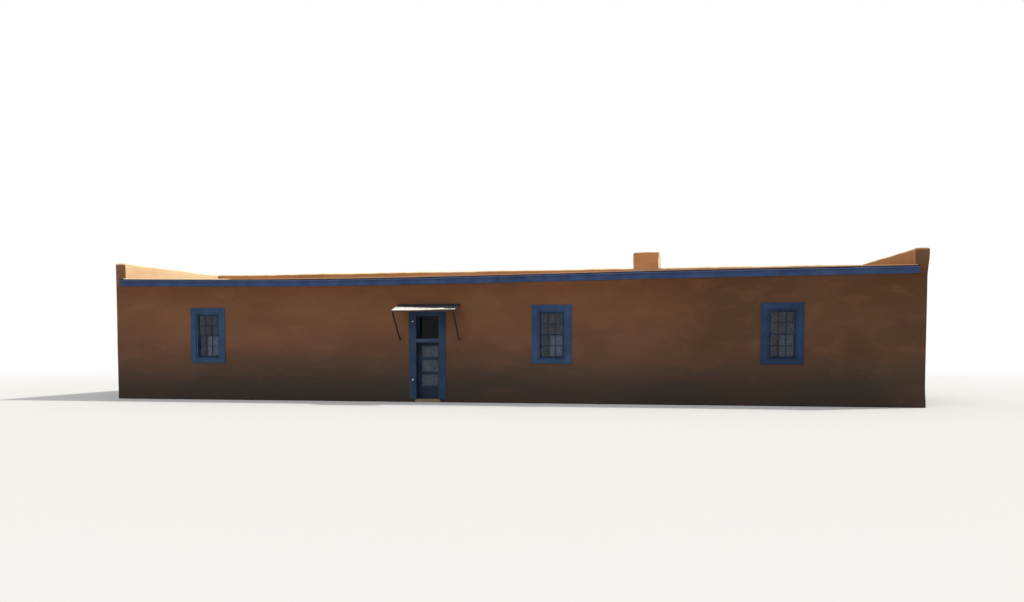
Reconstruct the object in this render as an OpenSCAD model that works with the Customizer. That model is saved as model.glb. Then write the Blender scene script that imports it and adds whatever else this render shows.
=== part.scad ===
// Long flat-roofed adobe house. Millimetres, +X along the front to the right,
// +Y to the back, +Z up, with the ground at z = 0 under the middle of the walls.

/* [House] */
// Overall length of the walls along the front
house_length = 27300; // [24000:100:32000]
// Overall depth of the walls, front to back
house_depth = 6600; // [5600:100:8000]
// Thickness of the adobe walls below the roof
wall_t = 500; // [450:10:600]
// Top of the floor above the ground
floor_z = 100; // [60:10:200]

/* [Roof] */
// Height of the roof surface at the front edge
roof_z = 4250; // [4100:10:4600]
// Rise of the roof to the back, in millimetres per metre
roof_rise = 24; // [10:1:50]
// Thickness of the roof coating on the boards
coating_t = 60; // [30:5:120]
// Thickness of the roof boards
deck_t = 25; // [18:1:40]
// Diameter of the ceiling logs
log_d = 200; // [150:5:240]
// Distance between the ceiling logs
log_pitch = 800; // [600:10:1000]
// Bearing of the ceiling logs on the front wall
log_bearing = 250; // [180:10:280]
// Radius of the coves where the roof meets the parapets
cove_r = 100; // [50:5:150]

/* [Parapets] */
// Thickness of the end and back parapets
parapet_t = 330; // [250:10:360]
// Height of the parapets above the roof surface
parapet_h = 615; // [400:5:900]
// Radius of the parapets' worn top edges
parapet_r = 60; // [30:5:90]

/* [Roof edge] */
// Height of the fascia boards
fascia_h = 250; // [180:5:300]
// Thickness of the fascia boards
fascia_t = 30; // [20:1:45]
// Length of the longest fascia board
board_length = 4880; // [3000:10:6000]
// Gap between fascia boards in line
board_gap = 3; // [2:0.5:6]
// Distance from the left end of the wall to the fascia
fascia_left_gap = 160; // [50:10:250]
// Distance from the right end of the wall to the fascia
fascia_right_gap = 260; // [50:10:280]
// How far the sagging fascia's top lies below the roof surface in the middle
fascia_drop = 22; // [5:1:30]
// How far both ends of the fascia stand above its middle
edge_sag = 95; // [20:5:120]
// How far the right end of the fascia stands above the left end
edge_tilt = 24; // [0:2:60]
// How far the fascia swells above that line on the right and sinks below it on the left
edge_swell = 38; // [0:1:45]
// Thickness of the roof edge over the fascia
lip_t = 32; // [30:1:50]
// Width of the built-up roof edge behind the fascia
lip_w = 180; // [120:10:240]

/* [Chimney] */
// Distance of the chimney from the middle of the house
chimney_x = 5250; // [4500:10:6500]
// Width of the chimney at the roof
chimney_w = 900; // [700:10:1000]
// Width of the chimney at its top
chimney_top_w = 880; // [600:10:900]
// Top of the chimney above the roof surface
chimney_h = 650; // [450:10:1000]
// Distance of the chimney's face behind the front of the wall
chimney_setback = 60; // [50:5:100]
// Width of the flue
flue_w = 420; // [250:10:450]
// Size of the flue from front to back
flue_d = 240; // [120:10:240]
// How far the flue goes down from the chimney's top
flue_run = 620; // [300:10:640]

/* [Windows] */
// Distance of the left window from the middle of the house
window_left_x = -10060; // [-10300:10:-7000]
// Distance of the middle window from the middle of the house
window_mid_x = 2180; // [1200:10:3000]
// Distance of the right window from the middle of the house
window_right_x = 9430; // [8000:10:10300]
// Clear width between the window jambs
window_w = 800; // [600:10:1000]
// Clear height between the window head and sill
window_h = 1505; // [1200:5:1700]
// Underside of the window sill above the ground
window_z = 1445; // [1200:5:1600]
// Face width of the window jambs
window_jamb_t = 60; // [40:1:80]
// Face height of the window head and sill
window_head_t = 50; // [35:1:70]
// Depth of the window frames in the wall
window_frame_d = 130; // [120:5:180]
// Depth of the rail at the bottom of the casing
casing_apron_h = 130; // [80:5:190]

/* [Sashes] */
// Thickness of a window sash
sash_t = 36; // [30:1:45]
// Face width of the sash stiles and top rails
stile_w = 45; // [35:1:60]
// Face height of the sash bottom rail
bottom_rail_h = 70; // [50:1:90]
// Face height of the meeting rails
meeting_rail_h = 32; // [25:1:45]
// Width of the glazing bars
bar_w = 20; // [14:1:28]
// Depth of the glazing bars
bar_d = 20; // [12:1:24]
// Thickness of the window glass
glass_t = 4; // [3:0.5:6]

/* [Casings] */
// Width of the casing boards round the windows
window_casing_w = 190; // [120:5:230]
// Width of the casing boards round the door
door_casing_w = 246; // [150:2:280]
// Thickness of the casing boards
casing_t = 24; // [18:1:35]

/* [Door] */
// Distance of the door from the middle of the house
door_x = -2030; // [-3500:10:-500]
// Clear width between the door jambs
door_w = 785; // [700:5:900]
// Underside of the head over the glass above the door
door_head_z = 2900; // [2800:10:3000]
// Underside of the bar between the door and the glass above it
transom_z = 2020; // [1980:10:2100]
// Height of that bar
transom_h = 120; // [80:5:150]
// Thickness of the jamb and head boards
jamb_t = 40; // [30:1:50]
// Distance of the door leaf behind the wall face
door_set_back = 300; // [200:5:330]
// Thickness of the door leaf
leaf_t = 45; // [38:1:55]
// Width of the leaf's stiles
leaf_stile_w = 92; // [80:1:130]
// Height of the leaf's rails
leaf_rail_h = 105; // [90:1:140]
// Height of the leaf's bottom panel
leaf_panel_h = 330; // [250:5:400]
// Height of the door knob above the floor
knob_z = 950; // [850:10:1100]
// Width of the stops that the leaf closes against
stop_w = 30; // [20:1:45]
// How far the stops stand out from the jambs
stop_t = 12; // [10:1:20]

/* [Hinges] */
// Radius of the hinge knuckles
knuckle_r = 7; // [7:0.5:10]
// Radius of the hinge pins
pin_r = 3; // [2:0.5:4]
// Height of a hinge
hinge_h = 100; // [70:5:130]
// Width of the hinge plates
plate_w = 38; // [25:1:50]
// Thickness of the hinge plates
plate_t = 2; // [1.5:0.5:3]

/* [Canopy] */
// Distance of the canopy from the middle of the house
canopy_x = -1960; // [-3500:10:-500]
// Width of the metal sheet over the door
canopy_w = 2200; // [1800:10:2600]
// Distance from the wall to the sheet's front edge
canopy_d = 850; // [600:10:1000]
// Height of the sheet's underside at the wall
canopy_wall_z = 3295; // [3280:5:3500]
// Fall of the sheet from the wall to its front edge
canopy_fall = 245; // [150:5:350]
// Distance between the sheet's corrugations
wave_pitch = 67; // [50:1:90]
// Depth of the corrugations
wave_h = 18; // [10:1:25]
// Thickness of the metal sheet
sheet_t = 2; // [1:0.5:3]
// Thickness of the canopy's timbers
canopy_timber = 45; // [30:1:60]
// Thickness of the canopy's struts
strut_t = 34; // [25:1:45]
// Height of the foot of the struts on the wall
strut_foot_z = 2130; // [1800:10:2400]

/* [Curtains] */
// Thickness of a gathered curtain
curtain_t = 14; // [10:1:30]
// Thickness of the curtain on the door leaf
leaf_curtain_t = 8; // [5:1:8]
// Distance of that curtain from the leaf
leaf_curtain_gap = 2; // [1:0.5:2]
// Share of the window width that a curtain covers
curtain_share = 0.55; // [0.4:0.05:0.9]
// Diameter of the curtain rods
rod_d = 10; // [8:1:16]

/* [Fits] */
// Gap where one fixed piece is fitted against another
seat = 0.3; // [0.2:0.1:1]
// Gap between pieces that were nailed up side by side
butt = 0.6; // [0.4:0.1:2]
// Gap round the sashes in their frames
sash_gap = 2; // [1.5:0.5:4]
// Gap round the door leaf
leaf_gap = 6; // [5:0.5:8]
// Wider gap on the leaf's lock side and under it
leaf_play = 2; // [1:0.5:4]

/* [Hidden] */
$fn = 48;

half_l = house_length / 2;
half_d = house_depth / 2;
front_y = -half_d;
inner_y = half_d - wall_t;
inner_x = half_l - wall_t;
parapet_x = half_l - parapet_t;
parapet_y = half_d - parapet_t;
slope = roof_rise / 1000;
roof_angle = atan(slope);
reach = half_l;
cut = 1;
cove_dip = 4;

// Heights in the tilted roof, at a depth y and so far below the roof surface
function roof_at(y, below) = roof_z - below + slope * (y - front_y);
function parapet_top(y) = roof_at(y, -parapet_h);
board_top = coating_t;
board_under = board_top + deck_t;
log_axis = board_under + seat + log_d / 2;
log_seat = log_axis + log_d / 2 + seat;

// Top line of the sagging fascia at a distance x along the front
function edge_share(x) = x / half_l;
function edge_line(u) = edge_sag * pow(u, 2) + edge_tilt / 2 * u + edge_swell * sin(180 * u);
function edge_z(x) = roof_z - fascia_drop + edge_line(edge_share(x));
fascia_x0 = -half_l + fascia_left_gap;
fascia_x1 = half_l - fascia_right_gap;
fascia_length = fascia_x1 - fascia_x0;
fascia_count = ceil(fascia_length / board_length);
edge_steps = 24;
edge_xs = [for (i = [0:edge_steps]) fascia_x0 + fascia_length * i / edge_steps];

window_xs = [window_left_x, window_mid_x, window_right_x];
hole_w = window_w + 2 * window_jamb_t;
hole_h = window_h + 2 * window_head_t;
sill_top = window_z + window_head_t;
sash_w = window_w - 2 * sash_gap;
meeting_z = sill_top + (window_h + bottom_rail_h - stile_w) / 2;
sash_y = 30;
tenon = stile_w / 2;
bars_across = 3;
bars_up = 2;

door_hole_w = door_w + 2 * jamb_t;
door_hole_z = door_head_z + jamb_t;
door_left = door_x - door_hole_w / 2;
door_right = door_x + door_hole_w / 2;
leaf_y = front_y + door_set_back;
leaf_back = leaf_y + leaf_t;
hinge_x = door_x - door_w / 2 + knuckle_r + butt;
hinge_y = leaf_back + knuckle_r + plate_t;
leaf_x0 = door_x - door_w / 2 + leaf_gap;
leaf_x1 = door_x + door_w / 2 - leaf_gap - leaf_play;
leaf_w = leaf_x1 - leaf_x0;
leaf_z0 = floor_z + leaf_gap + leaf_play;
leaf_z1 = transom_z - leaf_gap;
light_count = 3;
light_w = leaf_w - 2 * leaf_stile_w;
light_z0 = leaf_z0 + leaf_rail_h + leaf_panel_h;
light_pitch = (leaf_z1 - light_z0) / light_count;
light_h = light_pitch - leaf_rail_h;
hinge_low = 240;
hinge_high = 200;
hinge_zs = [leaf_z0 + hinge_low, (leaf_z0 + leaf_z1) / 2, leaf_z1 - hinge_high];

function rail_z(i) = light_z0 + light_pitch * i;

// A solid that runs along X from x0 to x1, with its section drawn in Y and Z
module run_x(x0, x1) translate([x0, 0, 0]) rotate([90, 0, 90]) linear_extrude(x1 - x0) children();

// A solid that runs along Y from y0 to y1, with its section drawn in X and Z
module run_y(y0, y1) translate([0, y1, 0]) rotate([90, 0, 0]) linear_extrude(y1 - y0) children();

// A box between two opposite corners
module box(low, high) translate(low) cube(high - low);

// The same solids tilted with the roof about its front edge
module tilted() translate([0, front_y, 0]) rotate([roof_angle, 0, 0]) translate([0, -front_y, 0]) children();

// The front half turned round to the back wall
module at_back() mirror([0, 1, 0]) children();

// A section with two rounded top corners
module rounded_top(x0, x1, z0, z1, r) {
    translate([x0, z0]) square([x1 - x0, z1 - r - z0]);
    translate([x0 + r, z0]) square([x1 - x0 - 2 * r, z1 - z0]);
    translate([x0 + r, z1 - r]) circle(r);
    translate([x1 - r, z1 - r]) circle(r);
}

// A concave corner that eases the roof into an upright face, blunt at both edges
module cove_section(r) difference() {
    square(r);
    translate([r + cove_dip, r + cove_dip]) circle(r);
}

module window_hole(x) box([x - hole_w / 2, front_y - cut, window_z],
                          [x + hole_w / 2, front_y + wall_t + cut, window_z + hole_h]);

// Section of the front wall: a ledge for the logs behind a raised outer skin
module front_wall_section() {
    ledge_y = front_y + wall_t - log_bearing;
    polygon([[front_y, 0], [front_y + wall_t, 0],
             [front_y + wall_t, roof_at(front_y + wall_t, log_seat)],
             [ledge_y, roof_at(ledge_y, log_seat)],
             [ledge_y, roof_at(ledge_y, board_under + seat)],
             [front_y, roof_at(front_y, board_under + seat)]]);
}

// The chimney's plan grown by a gap, from a depth below the roof up
module chimney_block(gap, below) {
    y0 = front_y + chimney_setback - gap;
    y1 = front_y + wall_t + gap;
    run_x(chimney_x - chimney_w / 2 - gap, chimney_x + chimney_w / 2 + gap)
        polygon([[y0, roof_at(y0, below)], [y1, roof_at(y1, below)],
                 [y1, roof_z + chimney_h], [y0, roof_z + chimney_h]]);
}

module floor_slab() color("#9a8b78")
    box([seat - inner_x, -inner_y, 0], [inner_x - seat, inner_y, floor_z]);

module front_wall_left() color("#a9693f") difference() {
    run_x(seat - inner_x, door_left) front_wall_section();
    window_hole(window_left_x);
}

module front_wall_over_door() color("#a9693f") intersection() {
    run_x(door_left, door_right) front_wall_section();
    box([door_left - cut, front_y - cut, door_hole_z], [door_right + cut, inner_y, roof_z]);
}

module front_wall_right() color("#a9693f") difference() {
    run_x(door_right, inner_x - seat) front_wall_section();
    window_hole(window_mid_x);
    window_hole(window_right_x);
    chimney_block(butt, log_seat);
}

// Outline of an end wall seen from the side, with its upper corners rounded
module end_outline() {
    y0 = front_y + parapet_r;
    y1 = half_d - parapet_r;
    z0 = parapet_top(y0) - parapet_r;
    z1 = parapet_top(y1) - parapet_r;
    translate([y0, 0]) square([y1 - y0, parapet_top(half_d) + parapet_r]);
    translate([front_y, 0]) square([parapet_r, z0]);
    translate([y1, 0]) square([parapet_r, z1]);
    translate([y0, z0]) circle(parapet_r);
    translate([y1, z1]) circle(parapet_r);
}

// The left end wall: full thickness below the roof, a rounded parapet above
module end_wall() intersection() {
    tilted() run_y(-reach, reach) {
        lean = cos(roof_angle);
        translate([-half_l, -reach])
            square([wall_t, reach + roof_at(front_y, board_under + seat) * lean]);
        rounded_top(-half_l, -parapet_x, 0, parapet_top(front_y) * lean, parapet_r);
    }
    run_x(-half_l - cut, cut - inner_x) end_outline();
}

module left_end_wall() color("#b3703f") end_wall();

module right_end_wall() color("#b3703f") mirror([1, 0, 0]) end_wall();

module back_wall() color("#a9693f") difference() {
    shelf_z = roof_at(half_d, board_under);
    union() {
        run_x(seat - inner_x, inner_x - seat)
            polygon([[inner_y, 0], [half_d, 0], [half_d, shelf_z + parapet_r],
                     [parapet_y, shelf_z + parapet_r], [parapet_y, roof_at(parapet_y, log_seat)],
                     [inner_y, roof_at(inner_y, log_seat)]]);
        run_x(seat - parapet_x, parapet_x - seat)
            rounded_top(parapet_y, half_d, shelf_z, parapet_top(parapet_y), parapet_r);
    }
    for (x = window_xs) at_back() window_hole(x);
}

// Logs laid from the front wall to the back wall, left out beside the chimney
module ceiling_logs() color("#7d5f43") {
    y0 = front_y + wall_t - log_bearing + butt;
    y1 = parapet_y - butt;
    first = ceil((-inner_x + log_d) / log_pitch);
    last = floor((inner_x - log_d) / log_pitch);
    keep_off = chimney_w / 2 + log_d / 2 + butt;
    for (i = [first:last])
        if (abs(i * log_pitch - chimney_x) > keep_off)
            intersection() {
                tilted() translate([i * log_pitch, -reach, roof_at(front_y, log_axis) * cos(roof_angle)])
                    rotate([-90, 0, 0]) cylinder(d = log_d, h = 2 * reach);
                box([-half_l, y0, 0], [half_l, y1, roof_z + parapet_h]);
            }
}

module roof_boards() color("#86694c") difference() {
    y1 = parapet_y - butt;
    run_x(-parapet_x + butt, parapet_x - butt)
        polygon([[front_y, roof_at(front_y, board_under)], [y1, roof_at(y1, board_under)],
                 [y1, roof_at(y1, board_top)], [front_y, roof_at(front_y, board_top)]]);
    chimney_block(butt, log_seat);
}

// The front edge's section between two lines that follow the sagging fascia's top
module edge_band(low, high) polygon(concat(
    [for (x = edge_xs) [x, edge_z(x) + low]],
    [for (i = [edge_steps:-1:0]) [edge_xs[i], edge_z(edge_xs[i]) + high]]));

// The coating's section between two depths, up to a height above the roof surface
module coating_section(y0, y1, high) polygon([
    [y0, roof_at(y0, board_top - seat)], [y1, roof_at(y1, board_top - seat)],
    [y1, roof_at(y1, -high)], [y0, roof_at(y0, -high)]]);

// Roof coating on the boards, and before it a built-up lip that follows the fascia
module roof_coating() color("#d9c3a0") difference() {
    x1 = parapet_x - butt;
    y0 = front_y - fascia_t;
    y1 = front_y + lip_w;
    union() {
        run_x(-x1, x1) coating_section(y1 + butt, parapet_y - butt, 0);
        intersection() {
            run_x(-x1, x1) coating_section(y0, y1, parapet_h);
            run_y(y0 - cut, y1 + cut) edge_band(-fascia_h, lip_t);
        }
    }
    run_y(y0 - cut, front_y) edge_band(-fascia_h - cut, seat);
    chimney_block(seat, log_seat);
}

// Coves along the foot of the three parapets, behind the lip
module parapet_coves() color("#d9c3a0") {
    x1 = parapet_x - butt;
    y1 = parapet_y - butt;
    for (side = [0, 1]) mirror([side, 0, 0]) intersection() {
        tilted() run_y(-reach, reach)
            translate([-x1, (roof_z + seat) * cos(roof_angle)]) cove_section(cove_r);
        box([-x1, front_y + lip_w + butt, 0], [0, y1 - cove_r - butt, reach]);
    }
    run_x(-x1, x1) translate([y1, roof_at(y1, -seat)]) rotate(roof_angle) mirror([1, 0])
        cove_section(cove_r);
}

module fascia_boards() color("#3f5f8a") {
    step = fascia_length / fascia_count;
    for (i = [0:fascia_count - 1])
        intersection() {
            run_y(front_y - fascia_t, front_y) edge_band(-fascia_h, 0);
            x0 = fascia_x0 + step * i;
            box([x0, front_y - fascia_t, 0], [x0 + step - board_gap, front_y, reach]);
        }
}

// A tapered stack on the wall, with a flue that goes down to the roof
module chimney_stack() color("#b5784a") {
    y0 = front_y + chimney_setback;
    y1 = front_y + wall_t;
    top = roof_z + chimney_h;
    half_w = chimney_w / 2;
    half_top = chimney_top_w / 2;
    difference() {
        intersection() {
            chimney_block(0, log_seat - seat);
            run_y(y0 - cut, y1 + cut) translate([chimney_x, 0])
                polygon([[-half_w, 0], [half_w, 0], [half_w, roof_z], [half_top, top],
                         [-half_top, top], [-half_w, roof_z]]);
        }
        translate([chimney_x - flue_w / 2, (y0 + y1 - flue_d) / 2, top - flue_run])
            cube([flue_w, flue_d, flue_run + cut]);
    }
}

// Boards nailed on the wall round one window
module window_casing(x) {
    y0 = front_y - casing_t;
    out = hole_w / 2 + window_casing_w;
    top = window_z + hole_h;
    box([x - out, y0, top], [x + out, front_y, top + window_casing_w]);
    box([x - out, y0, window_z - casing_apron_h], [x + out, front_y, window_z]);
    for (side = [0, 1]) translate([x, 0, 0]) mirror([side, 0, 0])
        box([hole_w / 2, y0, window_z + butt], [out, front_y, top - butt]);
}

// Jambs, head and sloping sill built into one window hole
module window_frame(x) {
    y0 = front_y;
    y1 = front_y + window_frame_d;
    in = window_w / 2;
    out = hole_w / 2 - seat;
    top = sill_top + window_h;
    box([x - out, y0, top + seat], [x + out, y1, window_z + hole_h - seat]);
    run_x(x - out, x + out)
        polygon([[y0, window_z + seat], [y1, window_z + seat], [y1, sill_top - seat],
                 [y0 + sash_y, sill_top - seat], [y0, sill_top - window_head_t / 4]]);
    for (side = [0, 1]) translate([x, 0, 0]) mirror([side, 0, 0])
        box([in, y0, sill_top], [out, y1, top]);
}

// One sash with its glazing bars, between two heights, its glass side at y
module sash(x, y, z0, z1, foot, head) {
    light_w = sash_w - 2 * stile_w;
    light_h = z1 - z0 - foot - head;
    difference() {
        box([x - sash_w / 2, y, z0], [x + sash_w / 2, y + sash_t, z1]);
        box([x - light_w / 2, y - cut, z0 + foot], [x + light_w / 2, y + sash_t + cut, z1 - head]);
    }
    for (i = [1:bars_across - 1])
        translate([x - light_w / 2 + light_w * i / bars_across, y, z0 + foot - tenon])
            box([-bar_w / 2, 0, 0], [bar_w / 2, bar_d, light_h + 2 * tenon]);
    for (i = [1:bars_up - 1])
        translate([x, y, z0 + foot + light_h * i / bars_up])
            box([-light_w / 2 - tenon, 0, -bar_w / 2], [light_w / 2 + tenon, bar_d, bar_w / 2]);
}

// The pane behind the bars of one sash
module sash_pane(x, y, z0, z1, foot, head) {
    in = sash_w / 2 - stile_w - seat;
    box([x - in, y + bar_d + seat, z0 + foot + seat],
        [x + in, y + bar_d + seat + glass_t, z1 - head - seat]);
}

upper_y = front_y + sash_y;
lower_y = upper_y + sash_t + sash_gap;
upper_z0 = meeting_z - meeting_rail_h / 2;
upper_z1 = sill_top + window_h - seat;
lower_z0 = sill_top + seat;
lower_z1 = meeting_z + meeting_rail_h / 2;

module upper_sash(x) sash(x, upper_y, upper_z0, upper_z1, meeting_rail_h, stile_w);
module lower_sash(x) sash(x, lower_y, lower_z0, lower_z1, bottom_rail_h, meeting_rail_h);
module window_glass(x) {
    sash_pane(x, upper_y, upper_z0, upper_z1, meeting_rail_h, stile_w);
    sash_pane(x, lower_y, lower_z0, lower_z1, bottom_rail_h, meeting_rail_h);
}

module front_window_casings() color("#4468a0") for (x = window_xs) window_casing(x);
module front_window_frames() color("#4468a0") for (x = window_xs) window_frame(x);
module front_upper_sashes() color("#3c4f63") for (x = window_xs) upper_sash(x);
module front_lower_sashes() color("#3c4f63") for (x = window_xs) lower_sash(x);
module front_window_glass() color("#8fa3ad", 0.5) for (x = window_xs) window_glass(x);
module back_window_casings() color("#4468a0") at_back() for (x = window_xs) window_casing(x);
module back_window_frames() color("#4468a0") at_back() for (x = window_xs) window_frame(x);
module back_upper_sashes() color("#3c4f63") at_back() for (x = window_xs) upper_sash(x);
module back_lower_sashes() color("#3c4f63") at_back() for (x = window_xs) lower_sash(x);
module back_window_glass() color("#8fa3ad", 0.5) at_back() for (x = window_xs) window_glass(x);

// Rods across the window frames, inside the lower sashes
rod_y = lower_y + sash_t + curtain_t / 2 + leaf_gap;
rod_z = meeting_z + rod_d;

module curtain_rods() color("#6a6258") for (x = window_xs)
    translate([x - window_w / 2 + seat, rod_y, rod_z]) rotate([0, 90, 0])
        cylinder(d = rod_d, h = window_w - 2 * seat, $fn = 24);

module window_curtains() color("#cfcfca") for (x = window_xs) {
    x1 = x + window_w / 2 - stile_w / 2;
    box([x1 - window_w * curtain_share, rod_y - curtain_t / 2, sill_top + leaf_gap],
        [x1, rod_y + curtain_t / 2, rod_z - rod_d / 2 - seat]);
}

module door_casings() color("#4468a0") {
    y0 = front_y - casing_t;
    in = door_w / 2;
    out = in + door_casing_w;
    box([door_x - out, y0, door_head_z + butt], [door_x + out, front_y, door_head_z + door_casing_w]);
    for (side = [0, 1]) translate([door_x, 0, 0]) mirror([side, 0, 0])
        box([in, y0, floor_z], [out, front_y, door_head_z]);
}

module door_frame() color("#4468a0") {
    in = door_w / 2;
    out = door_hole_w / 2 - seat;
    back = front_y + wall_t;
    box([door_x - out, front_y, door_head_z + seat], [door_x + out, back, door_hole_z - seat]);
    for (side = [0, 1]) translate([door_x, 0, 0]) mirror([side, 0, 0])
        box([in, front_y, floor_z + seat], [out, back, door_head_z]);
}

module door_transom_bar() color("#5a7fae")
    box([door_x - door_w / 2 + seat, front_y - casing_t, transom_z],
        [door_x + door_w / 2 - seat, leaf_back, transom_z + transom_h]);

transom_in = door_w / 2 - stile_w;
transom_z0 = transom_z + transom_h + seat;
transom_z1 = door_head_z - seat;

module transom_sash() color("#3c4f63") difference() {
    box([door_x - door_w / 2 + seat, leaf_y, transom_z0],
        [door_x + door_w / 2 - seat, leaf_y + sash_t, transom_z1]);
    box([door_x - transom_in, leaf_y - cut, transom_z0 + stile_w],
        [door_x + transom_in, leaf_y + sash_t + cut, transom_z1 - stile_w]);
}

module transom_glass() color("#8fa3ad", 0.5)
    box([door_x - transom_in + seat, leaf_y + sash_t / 2, transom_z0 + stile_w + seat],
        [door_x + transom_in - seat, leaf_y + sash_t / 2 + glass_t, transom_z1 - stile_w - seat]);

module door_threshold() color("#8a7a66")
    box([door_left, front_y, 0], [door_right, front_y + wall_t, floor_z]);

// Strips on both jambs, just outside the closed leaf
module door_stops() color("#4468a0") {
    y1 = leaf_y - leaf_gap;
    out = door_w / 2 - seat;
    for (side = [0, 1]) translate([door_x, 0, 0]) mirror([side, 0, 0])
        box([out - stop_t, y1 - stop_w, floor_z + seat], [out, y1, transom_z - seat]);
}

// The leaf: stiles and rails round three lights over a sunk bottom panel
module door_leaf() color("#34495e") {
    panel_t = leaf_t / 3;
    in = light_w / 2;
    mid = (leaf_x0 + leaf_x1) / 2;
    difference() {
        box([leaf_x0, leaf_y, leaf_z0], [leaf_x1, leaf_back, leaf_z1]);
        for (i = [0:light_count - 1])
            box([mid - in, leaf_y - cut, rail_z(i)], [mid + in, leaf_back + cut, rail_z(i) + light_h]);
        for (y = [leaf_y - cut, leaf_back - panel_t])
            box([mid - in, y, leaf_z0 + leaf_rail_h],
                [mid + in, y + panel_t + cut, leaf_z0 + leaf_panel_h]);
        translate([leaf_x1 - leaf_stile_w / 2, leaf_y - cut, floor_z + knob_z]) rotate([-90, 0, 0])
            cylinder(r = knob_pin_r + seat, h = leaf_t + 2 * cut);
    }
}

knob_pin_r = 8;
knob_r = 28;
rose_r = 30;
rose_t = 5;

module door_glass() color("#8fa3ad", 0.5) {
    in = light_w / 2 - seat;
    mid = (leaf_x0 + leaf_x1) / 2;
    y = leaf_y + (leaf_t - glass_t) / 2;
    for (i = [0:light_count - 1])
        box([mid - in, y, rail_z(i) + seat], [mid + in, y + glass_t, rail_z(i) + light_h - seat]);
}

leaf_curtain_y = leaf_back + leaf_curtain_gap;
leaf_rod_y = leaf_curtain_y + leaf_curtain_t / 2;
curtain_x0 = leaf_x0 + leaf_stile_w / 2 + knuckle_r;
curtain_x1 = leaf_x1 - leaf_stile_w / 2 - rose_r - knuckle_r;
curtain_z0 = light_z0 - leaf_rail_h / 2;
curtain_z1 = leaf_z1 - leaf_rail_h / 2;

module door_curtain() color("#d8d6cf")
    box([curtain_x0, leaf_curtain_y, curtain_z0],
        [curtain_x1, leaf_curtain_y + leaf_curtain_t, curtain_z1]);

// Rods over and under the curtain, on small feet that stand on the leaf
module door_curtain_rods() color("#6a6258") {
    r = leaf_curtain_t / 2;
    for (z = [curtain_z0 - r - seat, curtain_z1 + r + seat]) {
        translate([curtain_x0, leaf_rod_y, z]) rotate([0, 90, 0])
            cylinder(r = r, h = curtain_x1 - curtain_x0, $fn = 24);
        for (x = [curtain_x0, curtain_x1 - 2 * r])
            box([x, leaf_back, z - r / 2], [x + 2 * r, leaf_rod_y, z + r / 2]);
    }
}

// Round knobs on both faces, joined by a spindle through the leaf
module door_knob() color("#b5a27a") translate([leaf_x1 - leaf_stile_w / 2, leaf_y, floor_z + knob_z])
    rotate([-90, 0, 0]) {
        translate([0, 0, -rose_t]) cylinder(r = knob_pin_r, h = leaf_t + 2 * rose_t);
        for (side = [0, 1]) translate([0, 0, side * leaf_t]) mirror([0, 0, 1 - side]) {
            translate([0, 0, seat]) cylinder(r = rose_r, h = rose_t);
            rotate_extrude() difference() {
                union() {
                    translate([0, rose_t]) square([knob_pin_r, knob_r]);
                    translate([0, rose_t + knob_r]) circle(knob_r);
                }
                translate([-knob_r, 0]) square([knob_r, 3 * knob_r]);
            }
        }
    }

// Lower knuckle, pin and jamb plate of each hinge
module jamb_hinges() color("#8a8378") for (z = hinge_zs) translate([hinge_x, hinge_y, z - hinge_h / 2]) {
    cylinder(r = knuckle_r, h = hinge_h / 2 - seat, $fn = 32);
    cylinder(r = pin_r, h = hinge_h, $fn = 32);
    plate_x = door_x - door_w / 2 + seat - hinge_x;
    translate([plate_x, 0, 0]) cube([plate_t, plate_w, hinge_h / 2 - seat]);
}

// Upper knuckle and leaf plate of each hinge
module leaf_hinges() color("#8a8378") for (z = hinge_zs) translate([hinge_x, hinge_y, z]) difference() {
    plate_y = leaf_back + seat - hinge_y;
    union() {
        translate([0, 0, seat]) cylinder(r = knuckle_r, h = hinge_h / 2, $fn = 32);
        translate([0, plate_y, seat]) cube([plate_w, plate_t, hinge_h / 2]);
    }
    cylinder(r = pin_r + seat, h = hinge_h, $fn = 32);
}

// The canopy: a corrugated sheet on two rafters, a front rail and struts
canopy_angle = atan(canopy_fall / canopy_d);
wave_steps = 8;
wave_count = floor(canopy_w / wave_pitch);
sheet_w = wave_count * wave_pitch;
sheet_x0 = canopy_x - sheet_w / 2;
function wave(s) = wave_h / 2 * (1 - cos(360 * s / wave_steps));
function canopy_z(y) = canopy_wall_z + (y - front_y) * canopy_fall / canopy_d;

module sheet_section() {
    n = wave_count * wave_steps;
    polygon(concat([for (i = [0:n]) [sheet_w * i / n, wave(i)]],
                   [for (i = [n:-1:0]) [sheet_w * i / n, wave(i) + sheet_t]]));
}

module canopy_sheet() color("#c9c4bb") intersection() {
    translate([sheet_x0, front_y, canopy_wall_z + seat]) rotate([canopy_angle, 0, 0])
        translate([0, reach / 2, 0]) rotate([90, 0, 0]) linear_extrude(reach) sheet_section();
    box([sheet_x0 - cut, front_y - canopy_d, 0], [sheet_x0 + sheet_w + cut, front_y - seat, reach]);
}

timber_x = sheet_w / 2 - canopy_timber;
under_sheet = canopy_timber / cos(canopy_angle);
rail_y0 = front_y - canopy_d + 2 * canopy_timber;

module canopy_ledger() color("#5b4636")
    run_x(canopy_x - timber_x - canopy_timber / 2, canopy_x + timber_x + canopy_timber / 2)
        polygon([[front_y - canopy_timber, canopy_z(front_y - canopy_timber)],
                 [front_y, canopy_z(front_y)], [front_y, canopy_z(front_y) - 2 * canopy_timber],
                 [front_y - canopy_timber, canopy_z(front_y) - 2 * canopy_timber]]);

module canopy_rafters() color("#5b4636") for (side = [-1, 1]) {
    y1 = front_y - canopy_timber - butt;
    y0 = rail_y0 + butt;
    run_x(canopy_x + side * timber_x - canopy_timber / 2, canopy_x + side * timber_x + canopy_timber / 2)
        polygon([[y0, canopy_z(y0)], [y1, canopy_z(y1)], [y1, canopy_z(y1) - under_sheet],
                 [y0, canopy_z(y0) - under_sheet]]);
}

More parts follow.
